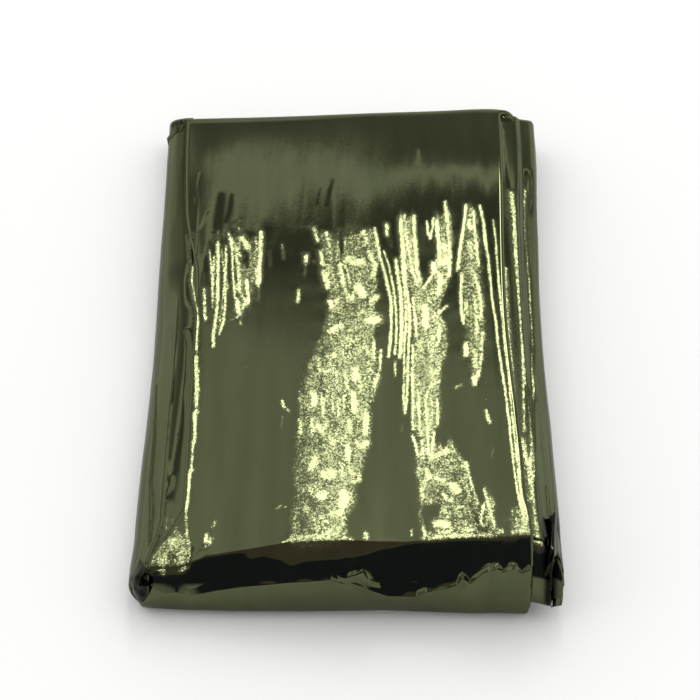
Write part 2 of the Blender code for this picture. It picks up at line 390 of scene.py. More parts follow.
def foil_material():
    """Olive metal on film, tinted in faint streaks along y.  Four vertex attributes steer it:
    crumpled (rougher, with a fine crinkle and a grain of tilted specks), glint and shade (how
    far the normal leans towards +x and -y) and dim, which is painted shade: how far the base
    colour is darkened to near black where the film lies in its own shade."""
    material = bpy.data.materials.new("olive_metallised_film")
    material.use_nodes = True
    tree = material.node_tree
    make = tree.nodes.new
    link = tree.links.new
    shader = tree.nodes["Principled BSDF"]
    shader.inputs["Metallic"].default_value = 1.0
    place = make("ShaderNodeTexCoord").outputs["Object"]

    def attribute(name):
        node = make("ShaderNodeAttribute")
        node.attribute_name = name
        return node.outputs["Fac"]

    def vector(operation, first, second=None, scale=None):
        """A Vector Math node's result; first and second are sockets or fixed vectors."""
        node = make("ShaderNodeVectorMath")
        node.operation = operation
        for socket, given in zip(node.inputs, (first, second)):
            if isinstance(given, tuple):
                socket.default_value = given
            elif given is not None:
                link(given, socket)
        if scale is not None:
            link(scale, node.inputs["Scale"])
        return node.outputs[0]

    drawn = make("ShaderNodeMapping")
    drawn.inputs["Scale"].default_value = (1.0, 0.14, 0.5)
    link(place, drawn.inputs["Vector"])
    drift = make("ShaderNodeTexNoise")
    drift.inputs["Scale"].default_value = 240.0
    drift.inputs["Detail"].default_value = 3.0
    link(drawn.outputs["Vector"], drift.inputs["Vector"])
    tint = make("ShaderNodeValToRGB")
    tint.color_ramp.elements[0].position = 0.30
    tint.color_ramp.elements[0].color = (0.168, 0.193, 0.094, 1.0)
    tint.color_ramp.elements[1].position = 0.72
    tint.color_ramp.elements[1].color = (0.206, 0.228, 0.118, 1.0)
    link(drift.outputs["Fac"], tint.inputs["Fac"])
    # Painted shade: the base colour is mixed towards near black as far as the dim attribute says.
    dimmed = make("ShaderNodeMix")
    dimmed.data_type = "RGBA"
    dimmed.inputs["B"].default_value = (0.012, 0.013, 0.012, 1.0)
    link(tint.outputs["Color"], dimmed.inputs["A"])
    link(attribute("dim"), dimmed.inputs["Factor"])
    link(dimmed.outputs["Result"], shader.inputs["Base Color"])

    crumpled = attribute("crumpled")
    link(ranged(tree, crumpled, 0.0, 1.0, 0.07, 0.28, smooth=False), shader.inputs["Roughness"])
    crinkle = make("ShaderNodeTexNoise")
    crinkle.inputs["Scale"].default_value = 2400.0
    crinkle.inputs["Detail"].default_value = 2.0
    crinkle.inputs["Roughness"].default_value = 0.6
    link(place, crinkle.inputs["Vector"])
    bump = make("ShaderNodeBump")
    bump.inputs["Distance"].default_value = 0.000030
    link(ranged(tree, crumpled, 0.0, 1.0, 0.02, 1.0, smooth=False), bump.inputs["Strength"])
    link(crinkle.outputs["Fac"], bump.inputs["Height"])

    grain = make("ShaderNodeTexVoronoi")
    grain.inputs["Scale"].default_value = 2900.0
    link(place, grain.inputs["Vector"])
    specks = vector("SUBTRACT", grain.outputs["Color"], (0.5, 0.5, 0.5))
    tilt = ranged(tree, crumpled, 0.0, 1.0, 0.004, 0.17, smooth=False)
    normal = vector("ADD", bump.outputs["Normal"], vector("SCALE", specks, scale=tilt))
    for name, direction in (("glint", (1.0, 0.0, 0.0)), ("shade", (0.0, -1.0, 0.0))):
        normal = vector("ADD", normal, vector("SCALE", direction, scale=attribute(name)))
    link(vector("NORMALIZE", normal), shader.inputs["Normal"])
    return material


FOIL = foil_material()


def dress(item):
    """Gives a piece its film and the body that it rides on, and hides the imported foil_blanket that it
    stands in for.
    """
    item.data.materials.append(FOIL)
    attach(item, "root")
    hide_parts("foil_blanket")
    return item


def halving_order(times):
    """Which place in the stack each panel takes after a row of 2^times is halved times times."""
    cells = [[panel] for panel in range(2**times)]
    while len(cells) > 1:
        half = len(cells) // 2
        cells = [cells[k] + cells[-1 - k][::-1] for k in range(half)]
    order = np.empty(len(cells[0]), dtype=int)
    order[cells[0]] = np.arange(len(cells[0]))
    return order


def sheet_section(depth, turn_points):
    """The sheet's line across one length: sixteen panels joined by half-round turns.  Columns:
    side weight 0..1 from left to right, reach beyond the edge line, level, slope sign, and the
    radius and angle in a turn (0 on a panel)."""
    level = (halving_order(4) + 0.5) / 16.0 * 2.0 * depth - depth
    along_panel = np.array((0.0, 0.03, 0.35, 0.65, 0.97, 1.0))
    across = []
    for panel in range(16):
        rising = panel % 2 == 0
        sign = 1 if rising else -1
        for t in along_panel if rising else along_panel[::-1]:
            across.append((t, 0.0, level[panel], sign, 0.0, 0.0))
        if panel == 15:
            break
        centre = (level[panel] + level[panel + 1]) / 2.0
        radius = abs(level[panel + 1] - level[panel]) / 2.0
        up = 1 if level[panel + 1] > level[panel] else -1
        side = 1.0 if rising else 0.0
        for degrees in np.linspace(-90, 90, turn_points + 2)[1:-1] * up:
            across.append((side, sign, centre, sign, radius, math.radians(degrees)))
    return np.array(across)


def folded_sheet():
    """The whole sheet as one grid: along the strip on the upper film and back on the lower,
    across it through the sixteen panels."""
    depth = SKIN - 0.09
    inset = 0.8
    t, out, level, sign, radius, angle = sheet_section(depth, 3).T
    stations = strip_stations(13, 9)
    first = stations[:, 7:8].astype(int)
    second = stations[:, 8:9].astype(int)
    blend = stations[:, 9:10]
    pressed = 1.0 - 0.6 * ((first == 8) * (1 - blend) + (second == 8) * blend)
    films = []
    for half in (1.0, -1.0):
        gap = depth / 32.0 * half
        offset = level + np.where(radius == 0.0, gap * sign, radius * np.sin(angle))
        push = out * inset * radius / depth * np.cos(angle)
        y, step = along_strip(stations, offset[None, :] * pressed)
        left = edge_x(0, y, first, second, blend) + inset
        right = edge_x(1, y, first, second, blend) - inset
        x = left + (right - left) * t[None, :] + push[None, :]
        films.append(packed(x, y, step))
    return np.concatenate([films[0], films[1][::-1]], axis=0)


sheet = dress(grid_mesh("blanket_sheet", folded_sheet()))

# ---------------------------------------------------------------- the outer film
# The film that lies outermost, the same metallised film in one run with the sheet: round the
# far end, over the top, down the near face and a little way under.  It is pressed smooth in
# some places and crumpled in others: its columns, streaks and creases are laid out one by one.

FILM_UP = 0.10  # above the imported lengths, mm
TOP_CREASE = (
    # x, y, z
    (-46.0, -59.6, 10.4), (-42.3, -59.5, 11.2), (-40.4, -60.2, 11.4), (-35.7, -60.5, 12.0),
    (-33.0, -59.8, 12.7), (-30.1, -58.9, 13.5), (-22.7, -58.1, 14.5), (-12.5, -56.9, 15.8),
    (-6.3, -56.9, 16.15), (-1.2, -56.8, 16.3), (10.0, -57.8, 16.55), (14.1, -57.8, 17.0), (20.2, -57.5, 17.5),
    (25.3, -57.4, 17.8), (30.4, -57.5, 18.4), (34.4, -57.4, 19.1), (37.5, -57.0, 19.2), (46.0, -57.0, 19.2),
)
LOWER_CREASE = (
    (-46.0, -63.4, 3.9), (-42.9, -63.6, 4.6), (-41.4, -63.6, 5.4), (-37.2, -63.6, 7.2), (-35.7, -63.7, 7.7),
    (-33.2, -63.7, 6.1), (-31.7, -63.7, 6.8), (-27.9, -63.7, 8.5), (-22.7, -63.7, 10.0), (-20.7, -63.7, 10.4),
    (-12.5, -63.7, 11.8), (-4.3, -63.7, 12.7), (-0.6, -63.9, 12.2), (4.1, -64.7, 10.1), (7.6, -65.0, 8.6),
    (13.4, -65.0, 8.2), (16.5, -64.7, 9.7), (21.9, -63.8, 11.3), (28.2, -63.4, 14.7), (31.0, -63.3, 15.6),
    (37.1, -63.3, 16.0), (46.0, -63.4, 16.0),
)
TEETH = (
    # x, how far the crumpled lower crease stands above (or below) its smooth line
    (-46.0, 0.0), (-6.0, 0.0), (-4.3, 0.2), (-1.2, -0.7), (0.4, 0.2),
    (2.4, 0.5), (3.0, 0.4), (4.1, 0.2), (7.6, 0.0), (15.4, 0.6), (20.0, -0.2), (21.9, 0.0), (22.8, 1.6),
    (24.3, -1.2), (28.2, 0.9), (29.4, 1.3), (31.1, -0.6), (33.0, 0.8), (34.8, -0.9), (37.1, 0.5), (46.0, 0.0),
)
FOOT = (
    (-46.0, -62.8, 2.5), (-41.7, -63.2, 2.3), (-35.4, -63.8, 2.6), (-25.0, -64.5, 3.6), (-10.5, -64.6, 3.8),
    (0.0, -64.5, 4.0), (7.2, -64.3, 3.7), (16.3, -64.7, 3.6), (24.5, -65.1, 3.8), (35.4, -65.0, 4.1),
    (46.0, -65.0, 4.1),
)


def line_at(line, x):
    """(y, z) of one of the near face's lines at x."""
    table = np.array(line)
    return np.interp(x, table[:, 0], table[:, 1]), np.interp(x, table[:, 0], table[:, 2])


def lattice_noise(x, y, step_x, step_y, seed):
    """Random values on a lattice, joined by eased interpolation: -1 to 1."""
    random = np.random.default_rng(seed)
    u, v = x / step_x + 200.0, y / step_y + 200.0
    i, j = np.floor(u).astype(int), np.floor(v).astype(int)
    values = random.uniform(-1.0, 1.0, (601, 601))
    a, b = ease(u - i), ease(v - j)
    low = values[i, j] * (1 - a) + values[i + 1, j] * a
    high = values[i, j + 1] * (1 - a) + values[i + 1, j + 1] * a
    return low * (1 - b) + high * b


STEP_X, STEP_P = 0.25, 0.5  # of the grid that the relief is worked out on, mm
RELIEF_X = np.arange(-50.0, 46.0, STEP_X)
RELIEF_P = np.arange(-86.0, 80.0, STEP_P)  # the path along the film: y on the top, on down the face
RX, RP = np.meshgrid(RELIEF_X, RELIEF_P)


def band(rows, soft=0.35, ends=1.2):
    """1 inside a column given by rows of (y, left, right) from far to near, 0 outside."""
    rows = np.array(rows, dtype=float)[::-1]
    ragged = RP + 1.8 * lattice_noise(RX, RP, 0.9, 30.0, 71) * ease((RP + 50.0) / 6.0)
    left = np.interp(RP, rows[:, 0], rows[:, 1]) + 0.35 * lattice_noise(RX, RP, 9.0, 2.1, 72)
    right = np.interp(RP, rows[:, 0], rows[:, 2]) + 0.35 * lattice_noise(RX, RP, 9.0, 2.1, 73)
    across = ease(0.5 + (RX - left) / soft) * ease(0.5 + (right - RX) / soft)
    along = ease(0.5 + (ragged - rows[0, 0]) / ends) * ease(0.5 + (rows[-1, 0] - ragged) / ends)
    return across * along


LIT_COLUMNS = (
    # how far lit, then (y, left, right) from far to near
    (0.37, ((31, -28.0, -20.5), (27, -27.2, -20.3), (20, -26.1, -20.2), (14, -25.4, -21.6),
            (6.5, -25.2, -23.4))),
    (0.37, ((31, -7.2, 6.2), (24, -6.6, 6.2), (10, -4.7, 5.6), (0, -6.4, 5.1), (-5, -8.1, 5.7),
            (-14, -11, 6.3), (-21, -11.6, 4.3), (-32, -11.8, 3.6), (-40, -12.3, 1.9),
            (-47, -12.4, -0.6), (-58.5, -13.1, -1.8))),
    (0.37, ((15, 13.3, 22.2), (9, 14.5, 19.8), (-3, 13.9, 21.3),
           (-14, 13.6, 19.5), (-25, 13.2, 19.0), (-32, 14.6, 16.6))),
    (0.37, ((37, 19.6, 23.0), (25, 19.4, 23.0), (14, 17.5, 22.2))),
    (0.37, ((37, 11.4, 14.4), (25, 11.8, 14.6), (14, 13.4, 16.0))),
    (0.37, ((-32, 14.2, 21.8), (-39, 13.8, 24.5), (-47, 14.1, 26.2), (-58.5, 14.7, 27.0))),
    (0.35, ((38, 27.1, 28.6), (24, 24.8, 29.0), (17, 24.6, 29.2), (5.5, 24.8, 29.5), (-5, 25.6, 29.3),
           (-12.3, 25.8, 28.3), (-16, 26.9, 27.2))),
    (0.45, ((-44, 28.4, 28.9), (-50, 27.6, 29.6), (-58.5, 26.8, 29.9))),
    (0.55, ((-50, 33.0, 36.4), (-58.5, 31.4, 37.0))),
    (1.2, ((-44, -38.2, -37.4), (-49, -39.0, -36.4), (-55, -41.0, -33.4), (-60.5, -42.5, -33.0))),
    (0.9, ((-49, -28.2, -27.4), (-54.5, -30.0, -28.0), (-57, -30.4, -28.8))),
)
SMOOTH_GAPS = (
    # (y, left, right) from far to near: smooth places inside the crumpled columns
    ((30, 15.0, 20.2), (21, 16.0, 19.0), (13.5, 16.4, 17.0)),
    ((31, -2.7, -1.6), (19, -2.2, -1.5)),
    ((-48, 14.6, 18.4), (-55, 15.0, 18.6)),
    ((27.5, -24.8, -23.2), (22, -25.0, -23.0)),
)
STROKES = (
    # half width, lean to the light (or, below 0, away from it), then x, y, x, y ... along the wrinkle
    (0.23, 0.35, -33.5, 20.2, -33.1, 15.5), (0.49, 0.9, -33.1, 14.9, -32.8, 11, -32.6, 7.4, -32.3, 5.1),
    (0.27, 0.9, -32.4, 27, -31.8, 22.9, -31.4, 17.3, -31, 11.2),
    (0.27, 0.8, -31.2, 24.9, -31.1, 18.9, -30.9, 11.2, -30.9, 8.8),
    (0.39, 1, -30.4, 28.9, -30.1, 20.5, -29.9, 14.2, -29.9, 8.2, -30.2, 3.8, -30.4, 0.9, -30.3, -2.6),
    (0.21, 0.8, -29.5, 27.6, -29.1, 23, -28.7, 18.9, -28.7, 12.6, -29, 6.6, -29.3, 2.8),
    (0.3, 0.95, -28.6, 28.3, -28.4, 22, -28.3, 15.7, -28.1, 9.6, -28.4, 4.5, -29.1, 1.1),
    (0.3, 0.35, -30.6, 33, -30.5, 28.9), (0.3, 0.3, -32.5, 29.3, -32.2, 27.1),
    (0.23, 0.6, -27.6, 16.3, -27.6, 14.4),
    (0.28, 1, -28.3, 32.7, -27.5, 30.3, -27, 25.3, -26.7, 19.8, -26.4, 15.7, -25.9, 11.7),
    (0.5, 0.85, -27.6, 31, -26.3, 26.9, -25.7, 23, -25.3, 18.9, -25, 14.2),
    (0.34, 0.7, -25.8, 26.9, -24.8, 24.3), (0.34, 0.9, -26.1, 15.7, -24.9, 13.6, -23.7, 11.2, -23, 10),
    (0.45, 1, -23.5, 17.4, -23.2, 14.2, -22.9, 10.3), (0.56, 1, -25.3, 11.1, -25.4, 8.2, -24.7, 7.3),
    (0.45, 0.8, -24.1, 8.8, -23.3, 11.2), (0.18, 0.9, -27.3, 5.1, -25.6, 5.8, -24.1, 7),
    (0.27, 0.8, -24.7, 4.9, -24.3, 3.7), (0.23, 0.6, -26.4, 36.4, -25.4, 36.4),
    (0.28, 0.6, -26, 34.7, -25.7, 33.3), (0.69, 1, -25, 30.9, -24.1, 29.2, -23.3, 27.8),
    (0.34, 0.8, -24.7, 27.2, -23.1, 27.3), (0.46, 0.7, -21.8, 30.8, -21.5, 27.8),
    (0.46, 1, -20.7, 32.8, -20.6, 28.4, -20.7, 21.9, -20.6, 16.6),
    (0.45, 0.9, -21.5, 21, -21.2, 17.9, -20.9, 15.7), (0.27, 0.5, -20.7, 15, -20.7, 10.8),
    (0.27, 0.35, -18.5, 26.1, -18.3, 21.6), (0.27, 0.45, -15.7, 28.4, -15.2, 23.7),
    (0.46, 0.9, -10.2, 24.9, -10.2, 22.4), (0.23, 0.4, -10.2, 22.4, -10.4, 18.3),
    (0.23, 0.5, -8.4, 23, -8.3, 22.1), (0.36, 0.9, -11.7, 13.8, -11.9, 10.1),
    (0.46, 0.8, -8.5, 33.6, -7.5, 29.1), (0.57, 0.8, -6.8, 25.7, -6.3, 21.3),
    (0.68, 0.85, -6.1, 19.4, -5.1, 14.4), (0.41, 0.8, -5.7, 31.8, -5, 28.2, -4.1, 26.6),
    (0.46, 0.6, -4.5, 25.9, -4.3, 21.1, -3.8, 15.7), (0.34, 0.5, -3, 29.3, -3.2, 22.1),
    (0.57, 0.85, -2.5, 21.2, -1.8, 17.1, -1.3, 12.6), (0.34, 0.8, -1.6, 22.1, -0.7, 18.8, -0.2, 15),
    (0.34, 0.6, -1.3, 30.3, -1.1, 24.3), (1.36, 1, -0.2, 22.9, 1.4, 21.8, 2.3, 21.7),
    (0.46, 0.7, 2.1, 30.2, 3, 32.1, 3.7, 27.8), (0.28, 0.8, 5.5, 32.7, 6, 26.7),
    (0.57, 0.7, 3.9, 25.4, 5.7, 20.6, 4.8, 17.4), (1.12, 1, 1.6, 14.4, 2.3, 12.8, 2.7, 11.5),
    (0.56, 0.9, -0.6, 12.3, -0.4, 9.8), (0.34, 0.9, 0.5, 12.4, 0.5, 10), (0.56, 1, -4.7, 10.2, -4.2, 8.4),
    (0.56, 0.9, -3.1, 10.6, -3.3, 9.3), (0.67, 0.9, 4.5, 9.7, 5.6, 10.9), (0.45, 0.6, 2, 6.8, 3.4, 6.1),
    (1.11, 1, 4, 4, 4.7, 3.4, 5.6, 4.1), (0.88, 0.95, -4.4, 1, -3.3, 1.9, -2.2, 2.6),
    (0.44, 0.7, -4.2, -1.1, -3.7, -2.5), (0.66, 0.5, -1.3, -1, 0.2, -1.8, 1.6, -1.4),
    (0.22, 0.7, -2.2, -3.9, 0.2, -2.7, 2, -1.5), (0.44, 0.4, -6.4, -1.8, -6.6, -4.1),
    (0.55, 0.6, 3.3, -3.6, 4, -6.8), (0.35, 0.85, 5.1, -2.7, 5, -7.4), (0.33, 0.7, 6.6, -5, 6.3, -10.8),
    (0.55, 0.7, -7, -7.1, -6.7, -9.9, -5.9, -11.3), (0.88, 0.8, -4.6, -6.6, -3.7, -6.3),
    (0.33, 0.9, -5.9, -11, -3.7, -10.6), (0.33, 0.8, -3.2, -10.9, -3, -16.6),
    (0.43, 0.4, -5.4, -13.3, -5, -15.6), (0.35, 0.8, -1.1, -10.9, -0.8, -16.1),
    (0.87, 1, 0.9, -10.6, 1.1, -12.4, 0.9, -13.2), (0.43, 0.7, 2, -12.2, 2, -17),
    (0.44, 0.6, 3.9, -8.6, 4.1, -12.3), (0.48, 0.8, 5.9, -12.5, 4.6, -16),
    (0.73, 1, -8.2, -16.7, -7.7, -18.5, -7.9, -20.1), (0.32, 0.6, -11, -16.2, -11, -19.6),
    (0.43, 0.9, -6.2, -17.9, -6, -20.8, -5.8, -23.6), (0.32, 0.6, -5.2, -17.3, -5.2, -19),
    (0.28, 0.8, -3.9, -16.7, -3.8, -22.6), (0.32, 0.8, -2.8, -18.3, -2.6, -23.4),
    (0.32, 0.7, -1.5, -17.8, -1.5, -22.3), (0.65, 1, 0.4, -17.1, 0.7, -20.3, 0.9, -22.5),
    (0.24, 0.6, 1.5, -18.7, 1.5, -27.1), (0.64, 1, 3.4, -23.3, 3.2, -26.1, 3, -28.3),
    (0.56, 0.95, -0.4, -24.6, -0.2, -28), (0.54, 0.7, -10.9, -24.1, -10.8, -27.8),
    (0.53, 0.75, -8.3, -24.6, -8.1, -28.2), (0.64, 0.95, -7.2, -26.1, -6.2, -27.5, -5.1, -25.8),
    (0.64, 0.6, -4.5, -28.5, -3.6, -31, -2.7, -30.1), (0.53, 0.6, -1.9, -30, -1.1, -29),
    (0.64, 0.9, -0.6, -31.5, -0.6, -35.1), (0.68, 0.9, 1.3, -30.9, 2.1, -32.1, 3.2, -31.3),
    (0.84, 0.95, -7.4, -35, -7.8, -36.5, -8.4, -37.8), (0.53, 0.4, -9.7, -34.8, -9.9, -36.4),
    (1.36, 1, -5.2, -39.2, -4.6, -38.9, -4, -39.4), (0.63, 0.7, -2.1, -36.6, -1.7, -39.8),
    (0.32, 0.8, -0.4, -38, 0.4, -39.3, 0.2, -40.6), (0.34, 0.85, 0.4, -38.8, 1.7, -39.7, 1.7, -41),
    (0.38, 0.7, -1.2, -41.7, 1.3, -41.2), (0.46, 0.8, -10.6, -43.5, -9, -43, -8.1, -43.7),
    (0.83, 1, -6.9, -44.7, -6, -45.4, -5.4, -44.3), (1.15, 1, -1.7, -44.3, -1.2, -45.6, -1.7, -47.2),
    (0.75, 1, -3.7, -49.6, -2.7, -49.8, -1.9, -49), (0.52, 0.6, -9.5, -47.4, -8.9, -49.3, -8, -50),
    (0.33, 0.9, -7.4, -50.9, -5.8, -51.1, -4.5, -51.8),
    (0.29, 0.7, -9.5, -53.1, -7.4, -52.7, -5.3, -53.1, -3.9, -54), (0.45, 1, -3.5, -52.7, -2.5, -53.2),
    (0.33, 1, -13.9, -56.4, -11.5, -55.9, -8, -56.1, -5.1, -55.5, -2.9, -54.6),
    (0.27, 0.75, -12.5, -55.1, -10.5, -54.9, -6.8, -54.9, -4.3, -54.5),
    (0.25, 0.9, -2.9, -55.3, -1.2, -56.2, 0.2, -56.4), (0.29, 0.9, 3.1, -55, 3.2, -56),
    (0.27, 0.9, -15.6, -47.8, -14.5, -47.1, -13.5, -47.4),
    (0.39, 0.9, -14.8, -18.8, -14.4, -20.5, -13.3, -21.7), (0.28, 0.5, -14.6, -23, -14.8, -26.6),
    (0.19, 0.8, -12.6, -51.9, -12.5, -52), (0.41, 1, 8.3, 33.7, 8.3, 30.3), (0.34, 0.25, 8.5, 30, 9.2, 26.6),
    (0.3, 0.9, 5.8, 30.4, 6.6, 23.8, 7.5, 19, 8.3, 14.3, 9, 9.7, 9, 2.3, 8.6, -3.5, 8.3, -7.3),
    (0.23, 0.8, 7.5, 25.4, 8.6, 20.6, 9.5, 14.2, 10, 8.1, 10.1, 0.7, 9.6, -6.5),
    (0.26, 0.7, 9.7, -8.5, 9.7, -12.5),
    (0.36, 0.9, 10.2, 22.6, 10.6, 17.2, 11.2, 10.9, 11.3, 5, 11.2, -0.9, 10.7, -7.5),
    (0.23, 0.75, 11.6, 21.2, 11.9, 15.4, 12.3, 9.3, 12.2, 1.9, 11.7, -5.3, 11.5, -13.8),
    (0.29, 0.8, 12.2, 15.4, 13, 9.2, 13.1, 3.3, 12.7, -4, 12.3, -12.5, 12.1, -19.5, 11.6, -23.7),
    (0.26, 0.8, 11.5, -14.7, 11.3, -19.5, 11.6, -23.4), (0.21, 0.4, 11.1, -26.4, 10.8, -28.3),
    (0.51, 0.9, 11.6, 35.6, 11.6, 30.9, 11.9, 25.6, 12, 20.1, 12.2, 15.4),
    (0.28, 0.85, 12.4, 36.9, 12.6, 31.4, 12.9, 26.4, 13.6, 22.2, 14, 17.7, 15, 13.9),
    (0.37, 0.85, 14.6, 36, 14.6, 30.6, 14.8, 24.7, 14.9, 18.9, 15.5, 15.1),
    (0.31, 0.9, 16.1, 12.8, 17.3, 14.9, 18.7, 17.4, 19.7, 19.7),
    (0.23, 0.8, 17.5, 33.9, 17.7, 30.5, 18.1, 28.5, 18.8, 31.8, 19, 35.2),
    (0.46, 0.85, 19.8, 34.4, 19.9, 29.4, 20.2, 24.4, 20.1, 20.6),
    (0.32, 0.85, 21.8, 40.2, 22.2, 36, 22.3, 29.3, 22.5, 22.7, 22.1, 16.4), (0.8, 0.85, 21.2, 26, 21.5, 20.5),
    (0.57, 0.85, 18.6, 20.6, 18.7, 18.1, 20.1, 17.4, 20.2, 14.9, 19.5, 11.2),
    (0.29, 0.8, 13.9, 10.6, 14.2, 4.6, 14.5, -1.3), (0.78, 1, 16.5, 7.4, 16.6, 4.4, 16.6, 1.5),
    (0.33, 0.7, 17.7, 4, 19.3, 5.2, 21.4, 7.3), (0.4, 0.8, 19.7, 1.4, 19.3, -2.4, 18.8, -4.5),
    (0.48, 0.6, 17.3, -4.5, 18.3, -1.6, 19.8, -0.1),
    (0.24, 0.9, 13.6, -4.1, 13.4, -12.6, 13.3, -21, 13.2, -27.9), (0.66, 0.6, 15.2, -2.8, 15.3, -5.7),
    (0.33, 0.6, 17.8, -4.5, 17.4, -11.7), (0.28, 0.85, 14.5, -17, 14.6, -21.2, 14.7, -28.2, 14.8, -30.1),
    (0.28, 0.85, 13.3, -21.9, 14.2, -21.2, 15, -21.8),
    (0.3, 0.8, 16.3, -19.5, 16.6, -17.3, 17.7, -15.7, 19.2, -14.5),
    (0.28, 0.9, 16.1, -20, 16.2, -24.2, 16.3, -30.3, 16.4, -35.2),
    (0.26, 0.9, 18.5, -19.7, 18.5, -23.6, 18.5, -26.9), (0.32, 0.8, 17.2, -18.8, 17.5, -23.6, 16.8, -27.1),
    (0.21, 0.7, 16.4, -27.3, 18.5, -27.2), (0.26, 0.85, 17.6, -29.1, 17.3, -32.6, 16.8, -35.5),
    (0.28, 0.9, 13, -29.3, 13.7, -32.1, 14.1, -35.1, 15.3, -36.1), (0.25, 0.8, 15, -30.9, 15.2, -35),
    (0.74, 0.95, 17, -35.8, 18.7, -34.9, 20.4, -34.2), (0.42, 0.6, 21.3, -32.9, 21.7, -34.5),
    (0.63, 0.95, 15.9, -39.1, 16.3, -41.1), (0.59, 0.95, 17.7, -41, 19.2, -42.1),
    (1.04, 1, 21.2, -43.8, 22, -44.6), (0.53, 0.8, 23.4, -38.8, 24.1, -38.1),
    (0.31, 0.6, 23.1, -41.4, 24.1, -44.7, 25, -47.4),
    (0.25, 0.8, 24.1, -37.3, 24.8, -41.6, 25.5, -45.3, 26.2, -48.7), (0.38, 0.8, 14.6, -43.4, 14.9, -46.1),
    (0.21, 0.6, 15.2, -43, 15.8, -42.8), (0.42, 0.9, 19.1, -45.2, 19.9, -47, 20.9, -47.2),
    (0.93, 1, 17.8, -53.2, 18.9, -53, 19.7, -53.4), (0.62, 0.6, 19.4, -49.4, 20.2, -51.1),
    (0.25, 0.9, 21.7, -49.3, 23.1, -49, 24.5, -50.4, 25.9, -52.6, 27.2, -54.6),
    (0.41, 0.6, 23.6, -52.9, 24.8, -54.9),
    (0.33, 1, 16.2, -56.8, 18.2, -56.6, 21.3, -56.2, 24.3, -56.5, 26.8, -56.4, 29.4, -56, 31, -56.2),
    (0.31, 0.8, 17.8, -55.3, 21.3, -54.6, 24.4, -55.1),
    (0.27, 0.8, 27.6, -44.5, 28.1, -47.6, 28.8, -51.6, 29.6, -54.9, 30.8, -55.9),
    (0.31, 0.8, 27.4, -48.9, 26.9, -51.4, 26.6, -53.6), (0.25, 0.8, 12.5, -54.2, 12.5, -55.9),
    (0.33, 0.85, 14.8, -53.8, 15.2, -55.2, 15.1, -56.3), (0.41, 0.6, 33.1, -50.5, 33.2, -51.8),
    (0.27, 0.8, 31.3, -53.2, 32.2, -52.8, 33.4, -52.8, 34.1, -53.5), (0.25, 0.8, 31.1, -55, 31, -56.4),
    (0.33, 1, 32.8, -56.8, 34.4, -56.3, 36.5, -56.1),
    (0.35, 0.85, 26.6, 38.7, 26.2, 33.9, 25.4, 28.8, 24.8, 24, 24.1, 18.3),
    (0.28, 0.9, 28.3, 37.1, 28.4, 31.9, 28.6, 25.1, 28.8, 19.6), (0.57, 1, 27.1, 33.1, 27.5, 31),
    (0.68, 0.75, 27.1, 27, 27.4, 22), (0.36, 0.7, 25, 16.9, 24.6, 11.4, 24.5, 6.9, 24.9, 1.8),
    (0.32, 0.85, 26.8, 18.8, 27.7, 17.2, 28.4, 13.3, 28.9, 7.8, 28.9, 3.3),
    (0.22, 0.6, 27.2, 15.3, 27.9, 12.7), (0.56, 0.6, 25.6, 8.2, 25.7, 5.2),
    (0.45, 0.6, 27.6, 9.4, 27.8, 1.9, 27.4, -2.4), (0.55, 0.9, 25.2, -4.4, 25.1, -7.8),
    (0.55, 0.7, 27, -6.8, 27.1, -11.1), (0.33, 0.6, 29, -1.1, 28.5, -7.4, 27.9, -12.6),
    (0.54, 0.9, 26.6, -14.1, 26.7, -16.1), (0.43, 0.8, 27.7, -12.6, 27.4, -14.3),
    (0.43, 0.5, 22.6, -16.7, 23.9, -16.1),
    (0.24, 0.95, 29.8, 38.4, 30.5, 32.7, 30.7, 26.6, 31.2, 20.7, 31.3, 13.7, 31.5, 7.6, 32, 1.7, 32.1, -4.2,
     32.4, -8.5, 32.8, -14.3, 33.2, -20, 33.5, -27, 33.8, -35.3, 34.1, -42, 34.6, -48.1, 35.4, -52.5, 36.1,
     -55.6),
    (0.18, 0.7, 35.3, 20, 35.2, 2, 35.3, -14, 35.5, -30, 35.8, -42, 36.2, -52),
    (0.2, 0.85, 32.7, 33.5, 33, 26.7, 33, 20.1, 33.1, 13.8, 33.3, 7.7, 33.5, 1.8, 33.6, -5.6, 34, -12.8,
     34.2, -21.4, 34.4, -29.8, 34.7, -38, 35, -44.7, 35.5, -49.9, 36.6, -54.2),
    (0.34, 0.85, 28.8, -23.9, 29.1, -25.6, 29.5, -27.2), (0.22, 0.6, 28.9, -20.3, 29, -20.6),
    (0.21, 0.4, 29.9, -34.2, 29.5, -36.8),
    (0.41, 0.95, -36, 23.3, -36.1, 18.9, -35.3, 13.9, -34.5, 9.5, -34, 5.6, -34.1, 2.1, -34, -3.7),
    (0.66, 0.95, -34, -5.1, -33.9, -8, -33.6, -10.8, -33.3, -15.1, -33.5, -17.8),
    (0.26, 0.7, -33.2, -7.8, -33.1, -10.9), (0.52, 0.9, -33.4, -17.8, -33.1, -21.1),
    (0.64, 1, -33.7, -21.1, -33.5, -23.3), (0.51, 0.95, -33.5, -23.3, -33.3, -27.4, -33.4, -29.5),
    (0.43, 0.9, -33.7, -28.7, -33.6, -32.7, -33.7, -35.6),
    (0.51, 0.95, -33.4, -36.1, -33.9, -37.4, -34.1, -38.7),
    (0.46, 1, -34.1, -36.6, -34, -40.5, -34.1, -44.4, -34.4, -46.4, -34.2, -49.4, -33.8, -53.1, -33.2, -55,
     -33.1, -57.7, -33.3, -58.9),
    (0.21, 0.7, -33.7, -53.3, -33.8, -55.4),
    (0.38, 0.9, -38.1, -43.3, -38.1, -46.1, -38.6, -48.6, -38.5, -50.1),
    (0.27, 0.85, -37.4, -47.1, -36.9, -50.4, -36.4, -53.2), (0.41, 0.8, -39.3, -53.4, -38.3, -52.8),
    (0.25, 0.9, -39.8, -55.5, -40.9, -56.1, -41.4, -57.9),
    (0.33, 0.85, -36.2, -53.3, -37.1, -54.8, -37.1, -56.2, -36.1, -55.5),
